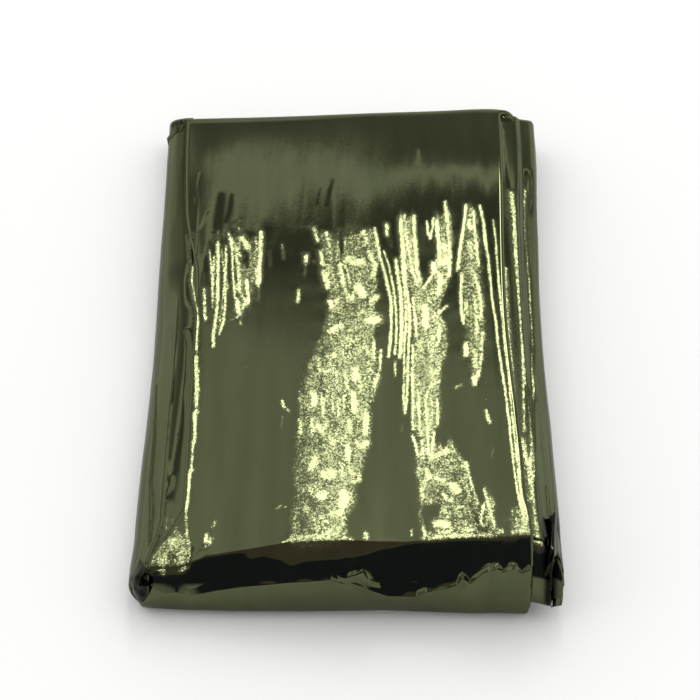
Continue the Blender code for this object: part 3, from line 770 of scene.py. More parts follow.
    (0.27, 0.8, -38.7, -57.4, -37.2, -57.1), (0.25, 0.7, -35.8, -57.5, -34.7, -57.8),
    (0.45, 0.9, -41.5, -59.2, -40.3, -58.4, -39.3, -57.9, -37.8, -58.9, -36.2, -58.5),
    (0.33, 0.95, -40.9, -59.4, -38.2, -59.7, -35.7, -59.7),
    (0.37, 0.95, -35.1, -59.5, -34.1, -59.1, -33.3, -58.9), (0.37, 0.85, -28, -49.8, -28.5, -51.6),
    (0.52, 1, -29.9, -53, -29.9, -54.8), (0.29, 0.7, -28.5, -53.4, -28.8, -55.8),
    (0.29, 0.8, -30.6, -56.6, -29.2, -55.8), (0.2, 0.5, -32, -57.8, -31, -57.1),
    (0.2, 0.4, -29.2, -57.4, -29.5, -58.6), (0.21, 0.7, -32, -45.4, -31.9, -45.4),
    (0.17, 0.5, -31.4, -43.8, -31.3, -44), (0.21, 0.3, -29.1, -43.1, -29.4, -44.3),
    (0.22, 0.2, -25.9, -20, -25.7, -22.7), (0.21, 0.3, -25.8, -22.6, -25.4, -25.3),
    (0.18, 0.3, -21.8, -2.7, -21.8, -4.1), (0.17, 0.8, -22.8, -8.7, -22.8, -8.9),
    (0.61, 0.95, 37.6, 44.6, 37.8, 37.4, 37.7, 29.1, 37.7, 22.6, 37.7, 13.2, 37.8, 4.3, 37.8, -4.5, 37.7,
     -14.5),
    (0.61, 0.95, 41, 47.5, 40.7, 40.1, 40.4, 31.9, 40.4, 25.8, 40.5, 17.5, 40.4, 8.3, 40.2, -0.6, 39.5,
     -16.9),
    (0.35, 0.9, 37.4, -14.5, 37, -27.8), (0.52, 0.9, 38.4, -14.5, 38.5, -24.4, 38.3, -32.7, 37.4, -40.8),
    (0.48, 0.9, 39.5, -16.9, 39, -29.9, 38.7, -36.8, 38.1, -40.8, 37.4, -46.1),
    (0.3, 0.8, 40.1, -12.5, 40.1, -16.9), (0.5, 0.9, 41.3, -41.2, 41.4, -44.4, 41.4, -48.1),
    (0.55, 0.8, 36.5, -30, 37.4, -38.2, 38, -46.1, 38.4, -53.9, 38.5, -58.8),
    (0.28, 0.75, -42.8, -8.8, -42.5, -24.6, -42.6, -35.4, -41.8, -46, -41.7, -53.2),
    (0.15, 0.5, 40.3, -29.5, 40.1, -32.3),
    (0.44, -1, -36.5, 4, -35.8, -0.6, -35.5, -9.1, -35.7, -14.7, -35, -23.1, -35, -27.1, -35.3, -30.9,
     -35.3, -34.9, -35.4, -38.9, -35.9, -42.7, -36, -48.6),
    (0.18, -1, -40.1, 6.3, -39.6, 0.7, -39.5, -4.2),
    (0.35, -1, -39.6, -16.3, -39.2, -19.2, -39.6, -20.5, -39.9, -22.6, -39.4, -24.4, -40, -25.1, -39.6,
     -28.7, -39.2, -32, -39.2, -36.8, -39.5, -39.3),
    (0.42, -1, -37.7, -36.6, -37.8, -38.7, -38.6, -40.1, -39.6, -42),
    (0.31, -1, -40, -41.9, -39.3, -47.2, -40.2, -50.9, -41.3, -53.6), (0.46, -1, -36.3, -43.9, -36, -48.6),
    (0.17, -1, -40.4, 58.9, -39.5, 52.6, -39.2, 47.8, -38.3, 35.6, -37.2, 25.6),
    (0.19, -1, -35.8, 53.4, -36.2, 49.3, -35.6, 44.3, -35.5, 38.7, -35.4, 30.2, -35.5, 23.2),
    (0.23, -1, -38.1, 47.6, -38.5, 45.6), (0.23, -1, -36.5, 44.9, -36.6, 42.3),
    (0.42, -1, -37.3, 36, -36.8, 34.5, -37, 30), (0.37, -1, -33.2, 39.8, -34, 37.3, -34.8, 34.4),
    (0.93, -0.7, -30.4, 45.4, -30.7, 40.5, -30.9, 34.3),
    (0.19, -1, 36.7, 66.7, 36.7, 59.8, 36.9, 49.4, 37.4, 44.9),
    (0.22, -1, 39.7, 67.7, 39.8, 55.3, 40.2, 50.4, 40.1, 45), (0.47, -0.8, 16, 58.6, 16.1, 56.5, 15.9, 53.7),
    (0.51, -0.6, -27.9, 45.4, -28.1, 40.5, -28.9, 36.4), (0.38, -0.5, -4, 49.5, -5.1, 45.1, -5.6, 40.8),
    (0.35, -0.4, -7.2, 46.6, -7.9, 41.2), (0.46, -1, 24.6, -48.6, 25.3, -50.5, 26, -53.1),
    (0.14, -1, 35.9, 71.2, 36.5, 59.8, 36.7, 49.4, 36.8, 42.6), (0.14, -1, 40, 63.5, 40.2, 55.2, 40.1, 45),
)


TONGUES = (
    # x, half width, start y, full y, depth: grooves that carry the dark band up the far part
    (-29.7, 1.2, 54.0, 34.0, 0.05),
    (-27.3, 0.9, 54.0, 36.0, 0.03),
    (-34.5, 1.0, 50.0, 30.0, 0.03),
    (-4.4, 0.8, 54.0, 36.0, 0.03),
    (-1.5, 0.9, 46.0, 32.0, 0.02),
    (6.8, 2.0, 48.0, 30.0, 0.03),
    (16.6, 1.2, 60.0, 50.0, 0.02),
    (24.6, 1.6, 60.0, 44.0, 0.04),
)


def wrinkles():
    """The strokes as three fields over (x, path), for a distance d off a line of half width w
    and strength s: s ease(1.5 - d / w); the same with w doubled, for the crumpled fringe; and
    where s is below 0, for a dark line, the bell -s exp(-0.8 (d / w)^2)."""
    sharp, fringe, dark = np.zeros(RX.shape), np.zeros(RX.shape), np.zeros(RX.shape)
    for half_width, strength, *path in STROKES:
        path = np.array(path).reshape(-1, 2)
        reach = 3.2 * half_width
        for (ax, ay), (bx, by) in zip(path[:-1], path[1:]):
            i, j = np.searchsorted(RELIEF_X, (min(ax, bx) - reach, max(ax, bx) + reach))
            k, m = np.searchsorted(RELIEF_P, (min(ay, by) - reach, max(ay, by) + reach))
            x, p = RX[k:m, i:j], RP[k:m, i:j]
            length = (bx - ax) ** 2 + (by - ay) ** 2
            t = np.clip(((x - ax) * (bx - ax) + (p - ay) * (by - ay)) / max(length, 1e-9), 0, 1)
            away = np.hypot(x - ax - t * (bx - ax), p - ay - t * (by - ay)) / half_width
            if strength > 0:
                sharp[k:m, i:j] = np.maximum(sharp[k:m, i:j], strength * ease(1.5 - away))
            else:
                dark[k:m, i:j] = np.maximum(dark[k:m, i:j], -strength * np.exp(-0.8 * away**2))
            fringe[k:m, i:j] = np.maximum(fringe[k:m, i:j], strength * ease(1.5 - away / 2.0))
    return sharp, fringe, dark


def facets(count, x_range, p_range, stretch, tilt, seed):
    """Crumpled facets: the nearest of some scattered points gives each place its own tilt."""
    random = np.random.default_rng(seed)
    px = random.uniform(*x_range, count)
    py = random.uniform(*p_range, count)
    tilt_x = random.normal(0.0, tilt, count)
    tilt_y = random.normal(0.0, tilt * 0.6, count)
    nearest = np.zeros(RX.shape, dtype=int)
    best = np.full(RX.shape, 1e9)
    warp = 0.5 * lattice_noise(RX, RP, 1.3, 2.6, seed + 1)
    for number in range(count):
        away = (RX + warp - px[number]) ** 2 + ((RP - py[number]) / stretch) ** 2
        closer = away < best
        best[closer] = away[closer]
        nearest[closer] = number
    return tilt_x[nearest], tilt_y[nearest]


def settled(slope_x, slope_y, weight_y):
    """The height whose slopes come nearest to the wanted ones, by Fourier transform:
    H = -i (kx Sx + w ky Sy) / (kx^2 + w ky^2)."""
    kx = 2 * np.pi * np.fft.fftfreq(RX.shape[1], STEP_X)[None, :]
    ky = 2 * np.pi * np.fft.fftfreq(RX.shape[0], STEP_P)[:, None]
    under = kx**2 + weight_y * ky**2
    under[0, 0] = 1.0
    wave = -1j * (kx * np.fft.fft2(slope_x) + weight_y * ky * np.fft.fft2(slope_y)) / under
    wave[0, 0] = 0.0
    return np.real(np.fft.ifft2(wave))


def lamp_lean(x, y):
    """The x part of the unit normal with which a level film at (x, y) mirrors the softbox to
    the camera: halfway between the two directions, worked out for where both of them stand."""
    return (5.0 - 0.171 * x * (1 - y / 337.0)) / (133.0 - 0.42 * y)


MESH_LEAN = 0.3  # share of the lean to the softbox that is in the mesh; the rest is shading


def film_relief():
    """The film's relief over (x, path), and how crumpled, lit and darkened it is there."""
    zone, level = np.zeros(RX.shape), np.zeros(RX.shape)
    for lit, rows in LIT_COLUMNS:
        column = band(rows, 2.4, 4.0)
        zone, level = np.maximum(zone, column), np.maximum(level, lit * column)
    for gap in SMOOTH_GAPS:
        calm = 1 - band(gap)
        zone, level = zone * calm, level * calm
    sharp, fringe, dark = wrinkles()
    sharp = sharp * (1 - dark)
    crumpled = zone * (0.62 + 0.25 * lattice_noise(RX, RP, 1.6, 2.6, 51))
    crumpled = np.maximum(crumpled, 0.55 * fringe) * (1 - 0.5 * sharp)
    patchy = 0.78 + 0.42 * lattice_noise(RX, RP, 1.1, 2.4, 52) + 0.34 * lattice_noise(RX, RP, 3.4, 6.0, 53)
    patchy += 0.3 * lattice_noise(RX, RP, 7.0, 11.0, 54)
    sharp = np.maximum(sharp, level * np.clip(patchy, 0.0, 1.4))
    base_slope = np.gradient(packet_height(RX, RP), STEP_X, axis=1) - 0.055 * ease((RX - 36.0) / 1.5)
    to_lamp = lamp_lean(RX, RP) + base_slope
    slope_x = -MESH_LEAN * sharp * to_lamp * ease((36.5 - RX) / 1.0)
    slope_y = np.zeros(RX.shape)
    for count, stretch, tilt, seed in ((900, 2.2, 0.016, 11), (4000, 2.0, 0.022, 23)):
        tilt_x, tilt_y = facets(count, (-42.0, 38.0), (-62.0, 42.0), stretch, tilt, seed)
        slope_x += crumpled * tilt_x
        slope_y += crumpled * tilt_y
    slope_x -= slope_x.mean(axis=1, keepdims=True)
    height = settled(slope_x, slope_y, 0.3)
    for x, half_width, start, full, depth in TONGUES:
        groove = np.exp(-(((RX - x) / half_width) ** 2)) * ease((start - RP) / (start - full))
        height -= depth * groove * ease((RP - full + 40.0) / 40.0)
    height *= ease((60.0 - RP) / 14.0) * ease((RP + 80.0) / 16.0)
    swells = ((-0.21, -50.0, 18.0), (0.42, 14.0, 54.0), (-0.21, 50.0, 76.0))
    along = sum(rise * ease((RP - start) / (end - start)) for rise, start, end in swells)
    height += (ease(RX / 22.0) - 0.75 * ease((-4.0 - RX) / 20.0)) * along
    ragged = ease((RP - 22.0) / 8.0) * ease((66.0 - RP) / 10.0)
    height += ragged * 0.016 * lattice_noise(RX, RP, 2.4, 13.0, 41)
    height += ragged * 0.007 * lattice_noise(RX, RP, 0.9, 9.0, 42)
    height += 0.003 * ease((58.0 - RP) / 16.0) * lattice_noise(RX, RP, 1.6, 14.0, 5)
    height += 0.006 * lattice_noise(RX, RP, 9.0, 12.0, 6)
    height += 0.05 * np.maximum(RX - 31.0, 0.0)
    height -= 0.0003 * np.maximum(RP - 50.0, 0.0) ** 2 * ease((10.0 - RX) / 30.0)
    away = np.where(RP > 33.0, 0.022, (21.5 + 0.125 * RP) / 115.0)
    return height, crumpled, sharp, dark * away


RELIEF, CRUMPLED, LIT, DARK = film_relief()


def from_plane(values, x, path):
    """A relief array at (x, path), bilinear."""
    u = np.clip((x - RELIEF_X[0]) / STEP_X, 0, len(RELIEF_X) - 1.001)
    v = np.clip((path - RELIEF_P[0]) / STEP_P, 0, len(RELIEF_P) - 1.001)
    i, j = u.astype(int), v.astype(int)
    a, b = u - i, v - j
    near = values[j, i] * (1 - a) + values[j, i + 1] * a
    far = values[j + 1, i] * (1 - a) + values[j + 1, i + 1] * a
    return near * (1 - b) + far * b


FILM_EDGE = 0.75  # from the film's outline in to where its side edge starts to roll under, mm


def outer_rows(share_across):
    """The outer film's base: points (rows, columns, 3), and how many rows each stretch has:
    under the far end, round it, along the top, down to the top crease, the near face to the
    lower crease and to the foot, the roll under the foot, and the strip under the packet."""
    t = share_across[None, :]
    parts = []

    def from_step(y, step, first, second, blend):
        edges = [edge_x(side, y, first, second, blend) for side in (0, 1)]
        edges[0] = edges[0] - 2.4 * ease((y - 18.0) / 24.0) * np.where(first == 8, 1.0, blend)
        x = edges[0] + FILM_EDGE + (edges[1] - edges[0] - 2 * FILM_EDGE) * t
        return packed(x, np.broadcast_to(y, x.shape), np.broadcast_to(step, x.shape))

    def on_length(y, place, step):
        places = np.full(y.shape, place)
        return from_step(y, step + 0 * y, places, places, 0.0 * y)

    parts.append(on_length(np.linspace(62.0, FAR_TURN_Y, 9)[:, None], 5, 4.5 - SKIN))
    degrees = np.linspace(-90, 90, 30)[1:-1][:, None]
    a = np.radians(degrees)
    power = 2.0 / SQUARENESS
    out = (1.5 + SKIN) * np.cos(a) ** power
    up = (1.5 + SKIN) * np.sign(a) * np.abs(np.sin(a)) ** power
    low, high = np.full(a.shape, 5), np.full(a.shape, 8)
    parts.append(from_step(FAR_TURN_Y + out * FAR_STEP, 6.0 + up, low, high, (degrees + 90.0) / 180.0))
    parts.append(on_length(np.linspace(FAR_TURN_Y, LEAN_FROM_Y, 138)[:, None], 8, 7.5 + SKIN))
    w = np.linspace(0, 1, 73)[1:][:, None]
    near_top = on_length(LEAN_FROM_Y + w * (CREASE_Y - LEAN_FROM_Y), 8, 7.5 + SKIN)
    x = near_top[:, :, 0]
    crease_y, crease_z = line_at(TOP_CREASE, x)
    near_top[:, :, 1] = LEAN_FROM_Y + w * (crease_y - LEAN_FROM_Y)
    drop = crease_z - packet_height(x, np.full(x.shape, CREASE_Y))
    near_top[:, :, 2] += drop * ease((w - 0.90) / 0.10)
    parts.append(near_top)
    for number, (rows, start, end) in enumerate(((24, TOP_CREASE, LOWER_CREASE), (30, LOWER_CREASE, FOOT))):
        w = np.linspace(0, 1, rows + 1)[1:][:, None]
        down = (w + number) / 2.0
        left = -41.8 - 2.0 * down + FILM_EDGE
        right = 37.3 - 0.5 * down - FILM_EDGE
        x = left + (right - left) * t
        start_y, start_z = line_at(start, x)
        end_y, end_z = line_at(end, x)
        bulge = (0.10 if number == 0 else 0.25) * np.sin(np.pi * w)
        near_line = ease((w - 0.72) / 0.28) if number == 0 else ease((0.30 - w) / 0.30)
        tooth = np.interp(x, *np.array(TEETH).T) * near_line
        y = start_y * (1 - w) + end_y * w - bulge - 0.12 * np.abs(tooth)
        z = start_z * (1 - w) + end_z * w + (bulge if number == 0 else 0.0) + tooth
        parts.append(np.stack([x, y, z], axis=-1))
    w = np.linspace(0, 1, 13)[1:][:, None]
    x = np.broadcast_to(-43.8 + FILM_EDGE + (36.8 + 43.8 - 2 * FILM_EDGE) * t, (12, t.shape[1]))
    foot_y, foot_z = line_at(FOOT, x)
    y = foot_y + 3.4 * (1 - np.cos(w * np.pi / 2))
    z = 0.05 + (foot_z - 0.05) * (1 - np.sin(w * np.pi / 2))
    parts.append(np.stack([x, y, z], axis=-1))
    w = np.linspace(0, 1, 15)[1:][:, None]
    y = foot_y[:1] + 3.4 + 12.0 * w
    x = np.broadcast_to(x[:1], y.shape)
    parts.append(np.stack([x, y, np.full(x.shape, 0.05)], axis=-1))
    return np.concatenate(parts, axis=0), [len(part) for part in parts]


def smoothed_rows(points, rows_from, rows_to):
    """Rounds the creases between rows: each point goes to a quarter, half, quarter mean."""
    inner = 0.25 * points[:-2] + 0.5 * points[1:-1] + 0.25 * points[2:]
    points[rows_from:rows_to] = inner[rows_from - 1 : rows_to - 1]
    return points


def unit_normals(points):
    """The unit normals of a grid: the cross product of its two differences."""
    normal = np.cross(np.gradient(points, axis=0), np.gradient(points, axis=1))
    return normal / np.maximum(np.linalg.norm(normal, axis=2, keepdims=True), 1e-9)


def marks_of(points, path, flip):
    """How crumpled each vertex is, and the x and -y leans of its normal that turn a lit spot
    to the lamp and a dark one from it, for the vertices that face up."""
    normal = unit_normals(points) * flip
    up = ease((normal[:, :, 2] - 0.08) / 0.22)
    x, y = points[:, :, 0], points[:, :, 1]
    crumpled, lit, dark = (from_plane(values, x, path) * up for values in (CRUMPLED, LIT, DARK))
    lean_x = lit * (lamp_lean(x, y) - normal[:, :, 0])
    lean_y = lit * (np.clip(normal[:, :, 1], -0.045, 0.04) - normal[:, :, 1])
    return crumpled, lean_x, dark - lean_y


def mark(item, values):
    """Stores the marks that the film's material reads, one number a vertex for each."""
    for name, value in zip(("crumpled", "glint", "shade", "dim"), values):
        layer = item.data.attributes.new(name, "FLOAT", "POINT")
        layer.data.foreach_set("value", value.astype(np.float32).ravel())


FILM_COLUMNS = 286
ROLL = 0.72  # radius of the film's rolled side edges, mm
LOWEST = 0.03  # no film lies lower over the table top, mm


def rolled_edge(rim, normal, outward):
    """A side edge rolled under: a half round of radius ROLL beside the rim, then a flat strip
    that runs back in under the film."""
    centre = rim - normal * ROLL
    turn = []
    for a in np.radians((26, 52, 78, 104, 130, 156, 180)):
        turn.append(centre + ROLL * (normal * math.cos(a) + outward * math.sin(a)))
    for inset in (1.0, 2.0, 3.2):
        turn.append(centre - ROLL * normal - outward * inset)
    return np.stack(turn, axis=1)


def lean_rows(points, marks, rows, slope, share):
    """Turns the shading of some rows, as far as share says, to a slope of their own along y."""
    normal = unit_normals(points)[rows]
    marks[2][rows] += share * (normal[:, :, 1] + slope * normal[:, :, 2])


def outer_film():
    """The base grid raised along its normals by the relief, with rolled side edges, and its
    marks: the relief's own, a rounder stretch under the top crease, and along the lower crease
    a thin light ribbon with a dark line under it."""
    base, counts = outer_rows(np.linspace(0, 1, FILM_COLUMNS))
    far_end, top_end = sum(counts[:2]), sum(counts[:4])
    base = smoothed_rows(base, top_end - 3, len(base) - 14)
    down = np.linalg.norm(np.diff(base, axis=0), axis=2).mean(axis=1)
    down = np.concatenate([[0.0], np.cumsum(down)])
    path = np.broadcast_to((CREASE_Y - (down - down[top_end - 1]))[:, None], base.shape[:2]).copy()
    path[:far_end] = 78.0
    path[far_end:top_end] = base[far_end:top_end, :, 1]
    normal = unit_normals(base)
    raised = base + normal * (FILM_UP + from_plane(RELIEF, base[:, :, 0], path))[:, :, None]
    outward = np.gradient(base, axis=1)
    outward /= np.linalg.norm(outward, axis=2, keepdims=True)
    left = rolled_edge(raised[:, 0], normal[:, 0], -outward[:, 0])
    right = rolled_edge(raised[:, -1], normal[:, -1], outward[:, -1])
    points = np.concatenate([left[:, ::-1], raised, right], axis=1)
    points[:, :, 2] = np.maximum(points[:, :, 2], LOWEST)
    over = left.shape[1]
    marks = marks_of(points, np.pad(path, ((0, 0), (over, over)), mode="edge"), 1.0)

    under = slice(top_end - 1, top_end + 21)
    x = points[under, :, 0]
    reach = np.interp(x, (-27.0, -20.0, -12.0, 0.0, 6.0, 14.0), (6.0, 10.0, 15.0, 12.0, 9.0, 3.0))
    reach += 2.5 * lattice_noise(x, 0 * x, 3.0, 1.0, 93)
    rounder = ease((reach - np.arange(22.0)[:, None]) / 7.0)
    rounder *= ease((x + 27.0) / 10.0) * ease((16.0 - x) / 5.0)
    lean_rows(points, marks, under, 0.165, rounder)

    crease = top_end + 23
    ribbon = slice(crease - 3, crease + 1)
    x = points[ribbon, :, 0]
    wide = 0.7 + 0.5 * lattice_noise(x, 0 * x, 2.4, 1.0, 91)
    thin = ease((x + 24.0) / 10.0) * ease(wide + 0.3 * (np.arange(4.0)[:, None] - 2.0))
    lean_rows(points, marks, ribbon, 0.06, thin)
    marks[2][crease + 2] += 0.4 * ease((points[crease, :, 0] + 2.0) / 2.0)
    return points, marks


film_points, film_marks = outer_film()
film = dress(grid_mesh("outer_film", film_points, flip=True))
mark(film, film_marks)

# ---------------------------------------------------------------- the side edges
# The long sides, in the same film: the rounded edges of the lengths under the top one,
# stepped because the lengths were laid down a little askew, and the loose film that hangs
# over them.  Nothing but the folds holds them.

LENGTH_ROWS, TURN_ROWS = 170, 24
ROW = LENGTH_ROWS + TURN_ROWS
RUNS = ((0, 2 * LENGTH_ROWS + TURN_ROWS), (3 * ROW, 8 * LENGTH_ROWS + 7 * TURN_ROWS))


def edge_skin(first, last, side, seed):
    """A band round one edge of the strip, over the stations first..last: the inset from the
    edge and the offset from the strip's middle follow a flat half round."""
    stations = strip_stations(LENGTH_ROWS, TURN_ROWS)[first:last]
    skin = SKIN + 0.01
    flat = np.linspace(8.0, 0.9, 9)
    a = np.radians(np.linspace(0, 180, 11))
    inset = np.concatenate([flat, 0.75 - 0.75 * np.sin(a), flat[::-1]])[None, :]
    offset = np.concatenate([np.full(9, skin), skin * np.cos(a), np.full(9, -skin)])[None, :]
    y, step = along_strip(stations, offset)
    place, following, blend = (stations[:, c : c + 1] for c in (7, 8, 9))
    edge = edge_x(side, y, place.astype(int), following.astype(int), blend)
    length = np.cumsum(np.full(len(stations), 0.75))[:, None] + 0 * inset
    around = np.arange(inset.shape[1])[None, :] + 0 * length
    wave = lattice_noise(length, around, 9.0, 4.0, seed)
    x = edge + (inset + 0.05 * wave * (inset < 3)) * (1 if side == 0 else -1)
    y, step = along_strip(stations, offset + 0.008 * lattice_noise(length, around, 14.0, 3.0, seed + 1))
    return packed(x, y, step)


LEFT_DRAPE = (
    # (length, outward past its edge, step) along the drape: near and middle, then far
    ((8, -3.0, 7.00), (8, -0.3, 7.02), (7, -1.2, 6.95), (7, 0.4, 6.50), (6, 0.35, 5.80), (5, 0.40, 4.80),
     (4, 0.45, 3.80), (3, 0.50, 2.90), (3, 0.30, 2.10), (3, -0.4, 1.90)),
    ((8, 1.0, 7.45), (8, 1.9, 7.45), (8, 2.8, 7.42), (7, 0.5, 7.20), (6, 0.50, 6.75), (5, 0.45, 5.90),
     (4, 0.55, 4.60), (3, 0.60, 3.00), (3, 0.40, 2.10), (3, -0.3, 1.90)),
)
RIGHT_DRAPE = (
    ((8, -3.0, 7.00), (8, 0.2, 7.00), (7, -1.0, 6.97), (7, -0.1, 6.90), (7, 0.3, 6.45), (6, -0.6, 6.02),
     (6, 0.1, 5.90), (6, 0.4, 5.40), (5, -0.3, 5.05), (5, 0.3, 4.70), (4, 0.45, 3.80), (3, 0.50, 2.80),
     (2, 0.4, 1.60), (2, 0.0, 1.20)),
    ((8, -3.0, 7.00), (8, 0.2, 7.05), (7, -1.0, 6.99), (7, 0.1, 6.94), (7, 0.7, 6.60), (6, 0.0, 6.55),
     (6, 0.9, 6.50), (5, -1.2, 6.45), (5, -0.4, 6.30), (5, 0.3, 5.70), (4, 0.45, 4.20), (3, 0.50, 2.90),
     (2, 0.4, 1.60), (2, 0.0, 1.20)),
)


def drape(side, tables, y_from, y_to, change, columns, seed):
    """A film that hangs over one side's edges: each row runs through points beside the
    lengths' edges, the far table taking over from the near one about y = change."""
    y = np.linspace(y_from, y_to, 210)[:, None]
    over = ease((y - change) / 16.0)
    xs, steps = [], []
    for near, far in zip(*tables):
        pair = []
        for place, out, _ in (near, far):
            ones = np.full(y.shape, place)
            pair.append(edge_x(side, y, ones, ones, 0.0) + (out if side else -out))
        xs.append(pair[0] * (1 - over) + pair[1] * over)
        steps.append(near[2] * (1 - over) + far[2] * over)
    x, step = np.concatenate(xs, axis=1), np.concatenate(steps, axis=1)
    fine = np.linspace(0, x.shape[1] - 1.0, columns)
    low = np.clip(fine.astype(int), 0, x.shape[1] - 2)
    part = fine - low
    x = x[:, low] * (1 - part) + x[:, low + 1] * part
    step = step[:, low] * (1 - part) + step[:, low + 1] * part
    for _ in range(6 if side == 0 else 3):
        x[:, 1:-1] = 0.25 * x[:, :-2] + 0.5 * x[:, 1:-1] + 0.25 * x[:, 2:]
        step[:, 1:-1] = 0.25 * step[:, :-2] + 0.5 * step[:, 1:-1] + 0.25 * step[:, 2:]
    around = fine[None, :] + 0 * y
    along = y + 0 * around
    out = 0.10 * lattice_noise(around, along, 1.3, 16.0, seed)
    out += 0.05 * lattice_noise(around, along, 0.5, 7.0, seed + 1)
    x = x + (out if side else -out) * ease((around - 1.5) / 2.0)
    points = packed(x, along, step)
    a = np.radians((18, 36, 54, 72, 90))[:, None]
    ends = []
    for last, way in ((points[0], -1.0), (points[-1], 1.0)):
        turn = np.repeat(last[None], len(a), axis=0)
        turn[:, :, 1] += 1.3 * way * np.sin(a)
        turn[:, :, 2] -= 0.5 * last[:, 2] * (1 - np.cos(a))
        ends.append(turn)
    return np.concatenate([ends[0][::-1], points, ends[1]], axis=0)


def kept_in(points):
    """Draws what lies near the front corners inside their outline: cut off low at the left,
    no further out than 43.7 mm at the right; nothing goes under the table top."""
    x, y, z = (points[:, :, axis] for axis in range(3))
    low = np.interp(z, (0.0, 1.0, 2.1, 3.9, 6.0, 12.0), (-43.3, -43.6, -44.6, -45.5, -46.1, -46.5))
    x = x + np.maximum(low - x, 0.0) * ease((-55.0 - y) / 4.0)
    x = x - np.maximum(x - 43.7, 0.0) * ease((-46.0 - y) / 8.0)
    return np.stack([x, y, np.maximum(z, LOWEST)], axis=-1)


def crushed(points):
    """Painted shade for the crushed end of the right side: 1 beyond a slanting line and short of
    the outermost fold, where the film's base colour is painted near black, 0 elsewhere."""
    x, y = points[:, :, 0], points[:, :, 1]
    shaded = ease((-np.interp(x, (41.0, 43.2), (49.0, 45.2)) - y) / 0.8) * ease((x - 39.3) / 0.4)
    return 0.96 * shaded * (1.0 - 0.85 * ease((x - 42.2) / 0.5) * ease((-52.5 - y) / 1.5))


# The flaps and edge bands carry painted shade (dim) at the crushed right end, where their colour goes near
# black.
for side, name, tables, y_from, change, columns in (
    (0, "left_flap", LEFT_DRAPE, -57.0, 10.0, 55),
    (1, "right_flap", RIGHT_DRAPE, -54.0, 40.0, 71),
):
    points = kept_in(drape(side, tables, y_from, 73.5, change, columns, 61 + 10 * side))
    flap = dress(grid_mesh(name, points, flip=side == 1))
    mark(flap, (*marks_of(points, points[:, :, 1], 1.0 - 2.0 * side), crushed(points)))
for side, name in ((0, "left_edges"), (1, "right_edges")):
    for number, (first, last) in enumerate(RUNS):
        points = kept_in(edge_skin(first, last, side, 40 + side * 10 + number))
        edges = dress(grid_mesh(f"{name}_{number + 1}", points, flip=side == 1))
        mark(edges, (*marks_of(points, points[:, :, 1], 2.0 * side - 1.0), crushed(points)))

# ---------------------------------------------------------------- the crumpled corners
# Small crumples of the same film: at the near end the crushed left corner, the torn right one
# with a loose outer fold beside it and a knot in the lower crease, and two tucks at the far
# end.  Each is a net of corner points filled in with small facets.

LEFT_CRUMPLE = (
    ((-43.6, -56.6, 10.3), (-42.6, -58.7, 11.5), (-41.8, -60.3, 12.3), (-40.9, -61.2, 12.5)),
    ((-44.2, -58.3, 9.5), (-43.1, -60.7, 11.5), (-42.4, -61.5, 11.9), (-41.3, -61.9, 12.1)),
    ((-45.4, -60.0, 8.3), (-44.1, -61.6, 10.6), (-43.0, -62.3, 10.6), (-41.4, -62.6, 10.7)),
    ((-45.8, -60.1, 7.3), (-44.4, -62.2, 9.3), (-43.4, -63.4, 10.0), (-41.4, -63.4, 9.6)),
    ((-45.7, -60.5, 5.7), (-44.6, -62.9, 8.1), (-43.2, -63.2, 7.9), (-41.5, -63.7, 8.3)),
    ((-45.6, -60.9, 3.9), (-44.4, -62.7, 6.1), (-43.4, -63.6, 6.7), (-41.8, -63.6, 6.7)),
    ((-44.7, -61.3, 2.1), (-44.0, -62.9, 4.1), (-43.4, -63.3, 4.3), (-42.3, -63.6, 5.5)),
    ((-43.9, -61.4, 0.2), (-43.7, -62.1, 1.1), (-43.6, -62.2, 1.3), (-43.1, -62.4, 2.3)),
)
RIGHT_TORN = (
    ((41.2, -49.8, 15.3), (41.7, -49.4, 15.7), (42.3, -48.4, 15.5), (42.9, -47.2, 14.1)),
    ((41.0, -51.7, 15.4), (41.5, -52.0, 16.5), (42.1, -51.2, 16.1), (42.7, -50.4, 14.3)),
    ((40.8, -55.1, 15.9), (41.1, -55.5, 16.9), (41.7, -55.2, 16.5), (42.3, -54.5, 14.7)),
    ((40.3, -59.1, 15.9), (40.6, -59.8, 16.9), (41.3, -60.2, 17.1), (42.1, -58.6, 14.5)),
    ((39.5, -61.7, 14.7), (40.1, -61.9, 15.7), (41.1, -61.7, 14.7), (42.1, -60.6, 12.7)),
    ((39.3, -63.1, 11.7), (39.8, -63.1, 12.5), (41.0, -62.9, 11.5), (42.3, -62.2, 10.1)),
    ((39.3, -63.5, 8.7), (40.0, -63.8, 9.1), (41.2, -63.6, 8.5), (42.4, -63.1, 7.3)),
    ((39.3, -63.2, 6.1), (40.2, -63.5, 5.7), (41.2, -62.8, 5.1), (42.5, -62.4, 4.5)),
    ((39.2, -63.9, 5.5), (40.5, -63.6, 4.5), (41.0, -64.0, 4.3), (41.4, -63.1, 3.7)),
    ((40.8, -63.2, 3.9), (41.1, -63.6, 3.3), (41.4, -63.9, 3.1), (41.8, -63.9, 1.9)),
)
OUTER_FOLD = (
    ((42.3, -52.6, 14.5), (42.5, -52.4, 14.3), (42.7, -52.0, 13.3)),
    ((42.2, -55.3, 14.5), (42.7, -54.8, 13.7), (43.1, -54.1, 12.1)),
    ((42.0, -58.7, 14.3), (42.6, -58.2, 13.3), (43.3, -57.3, 11.3)),
    ((42.1, -61.4, 12.1), (42.7, -61.1, 11.3), (43.4, -60.8, 10.1)),
    ((42.3, -63.0, 8.7), (43.0, -62.9, 8.1), (43.6, -62.4, 7.1)),
    ((42.3, -63.7, 6.5), (43.1, -63.5, 5.7), (43.8, -63.3, 4.7)),
    ((42.5, -64.2, 3.9), (43.2, -63.6, 3.3), (43.8, -62.8, 3.1)),
)
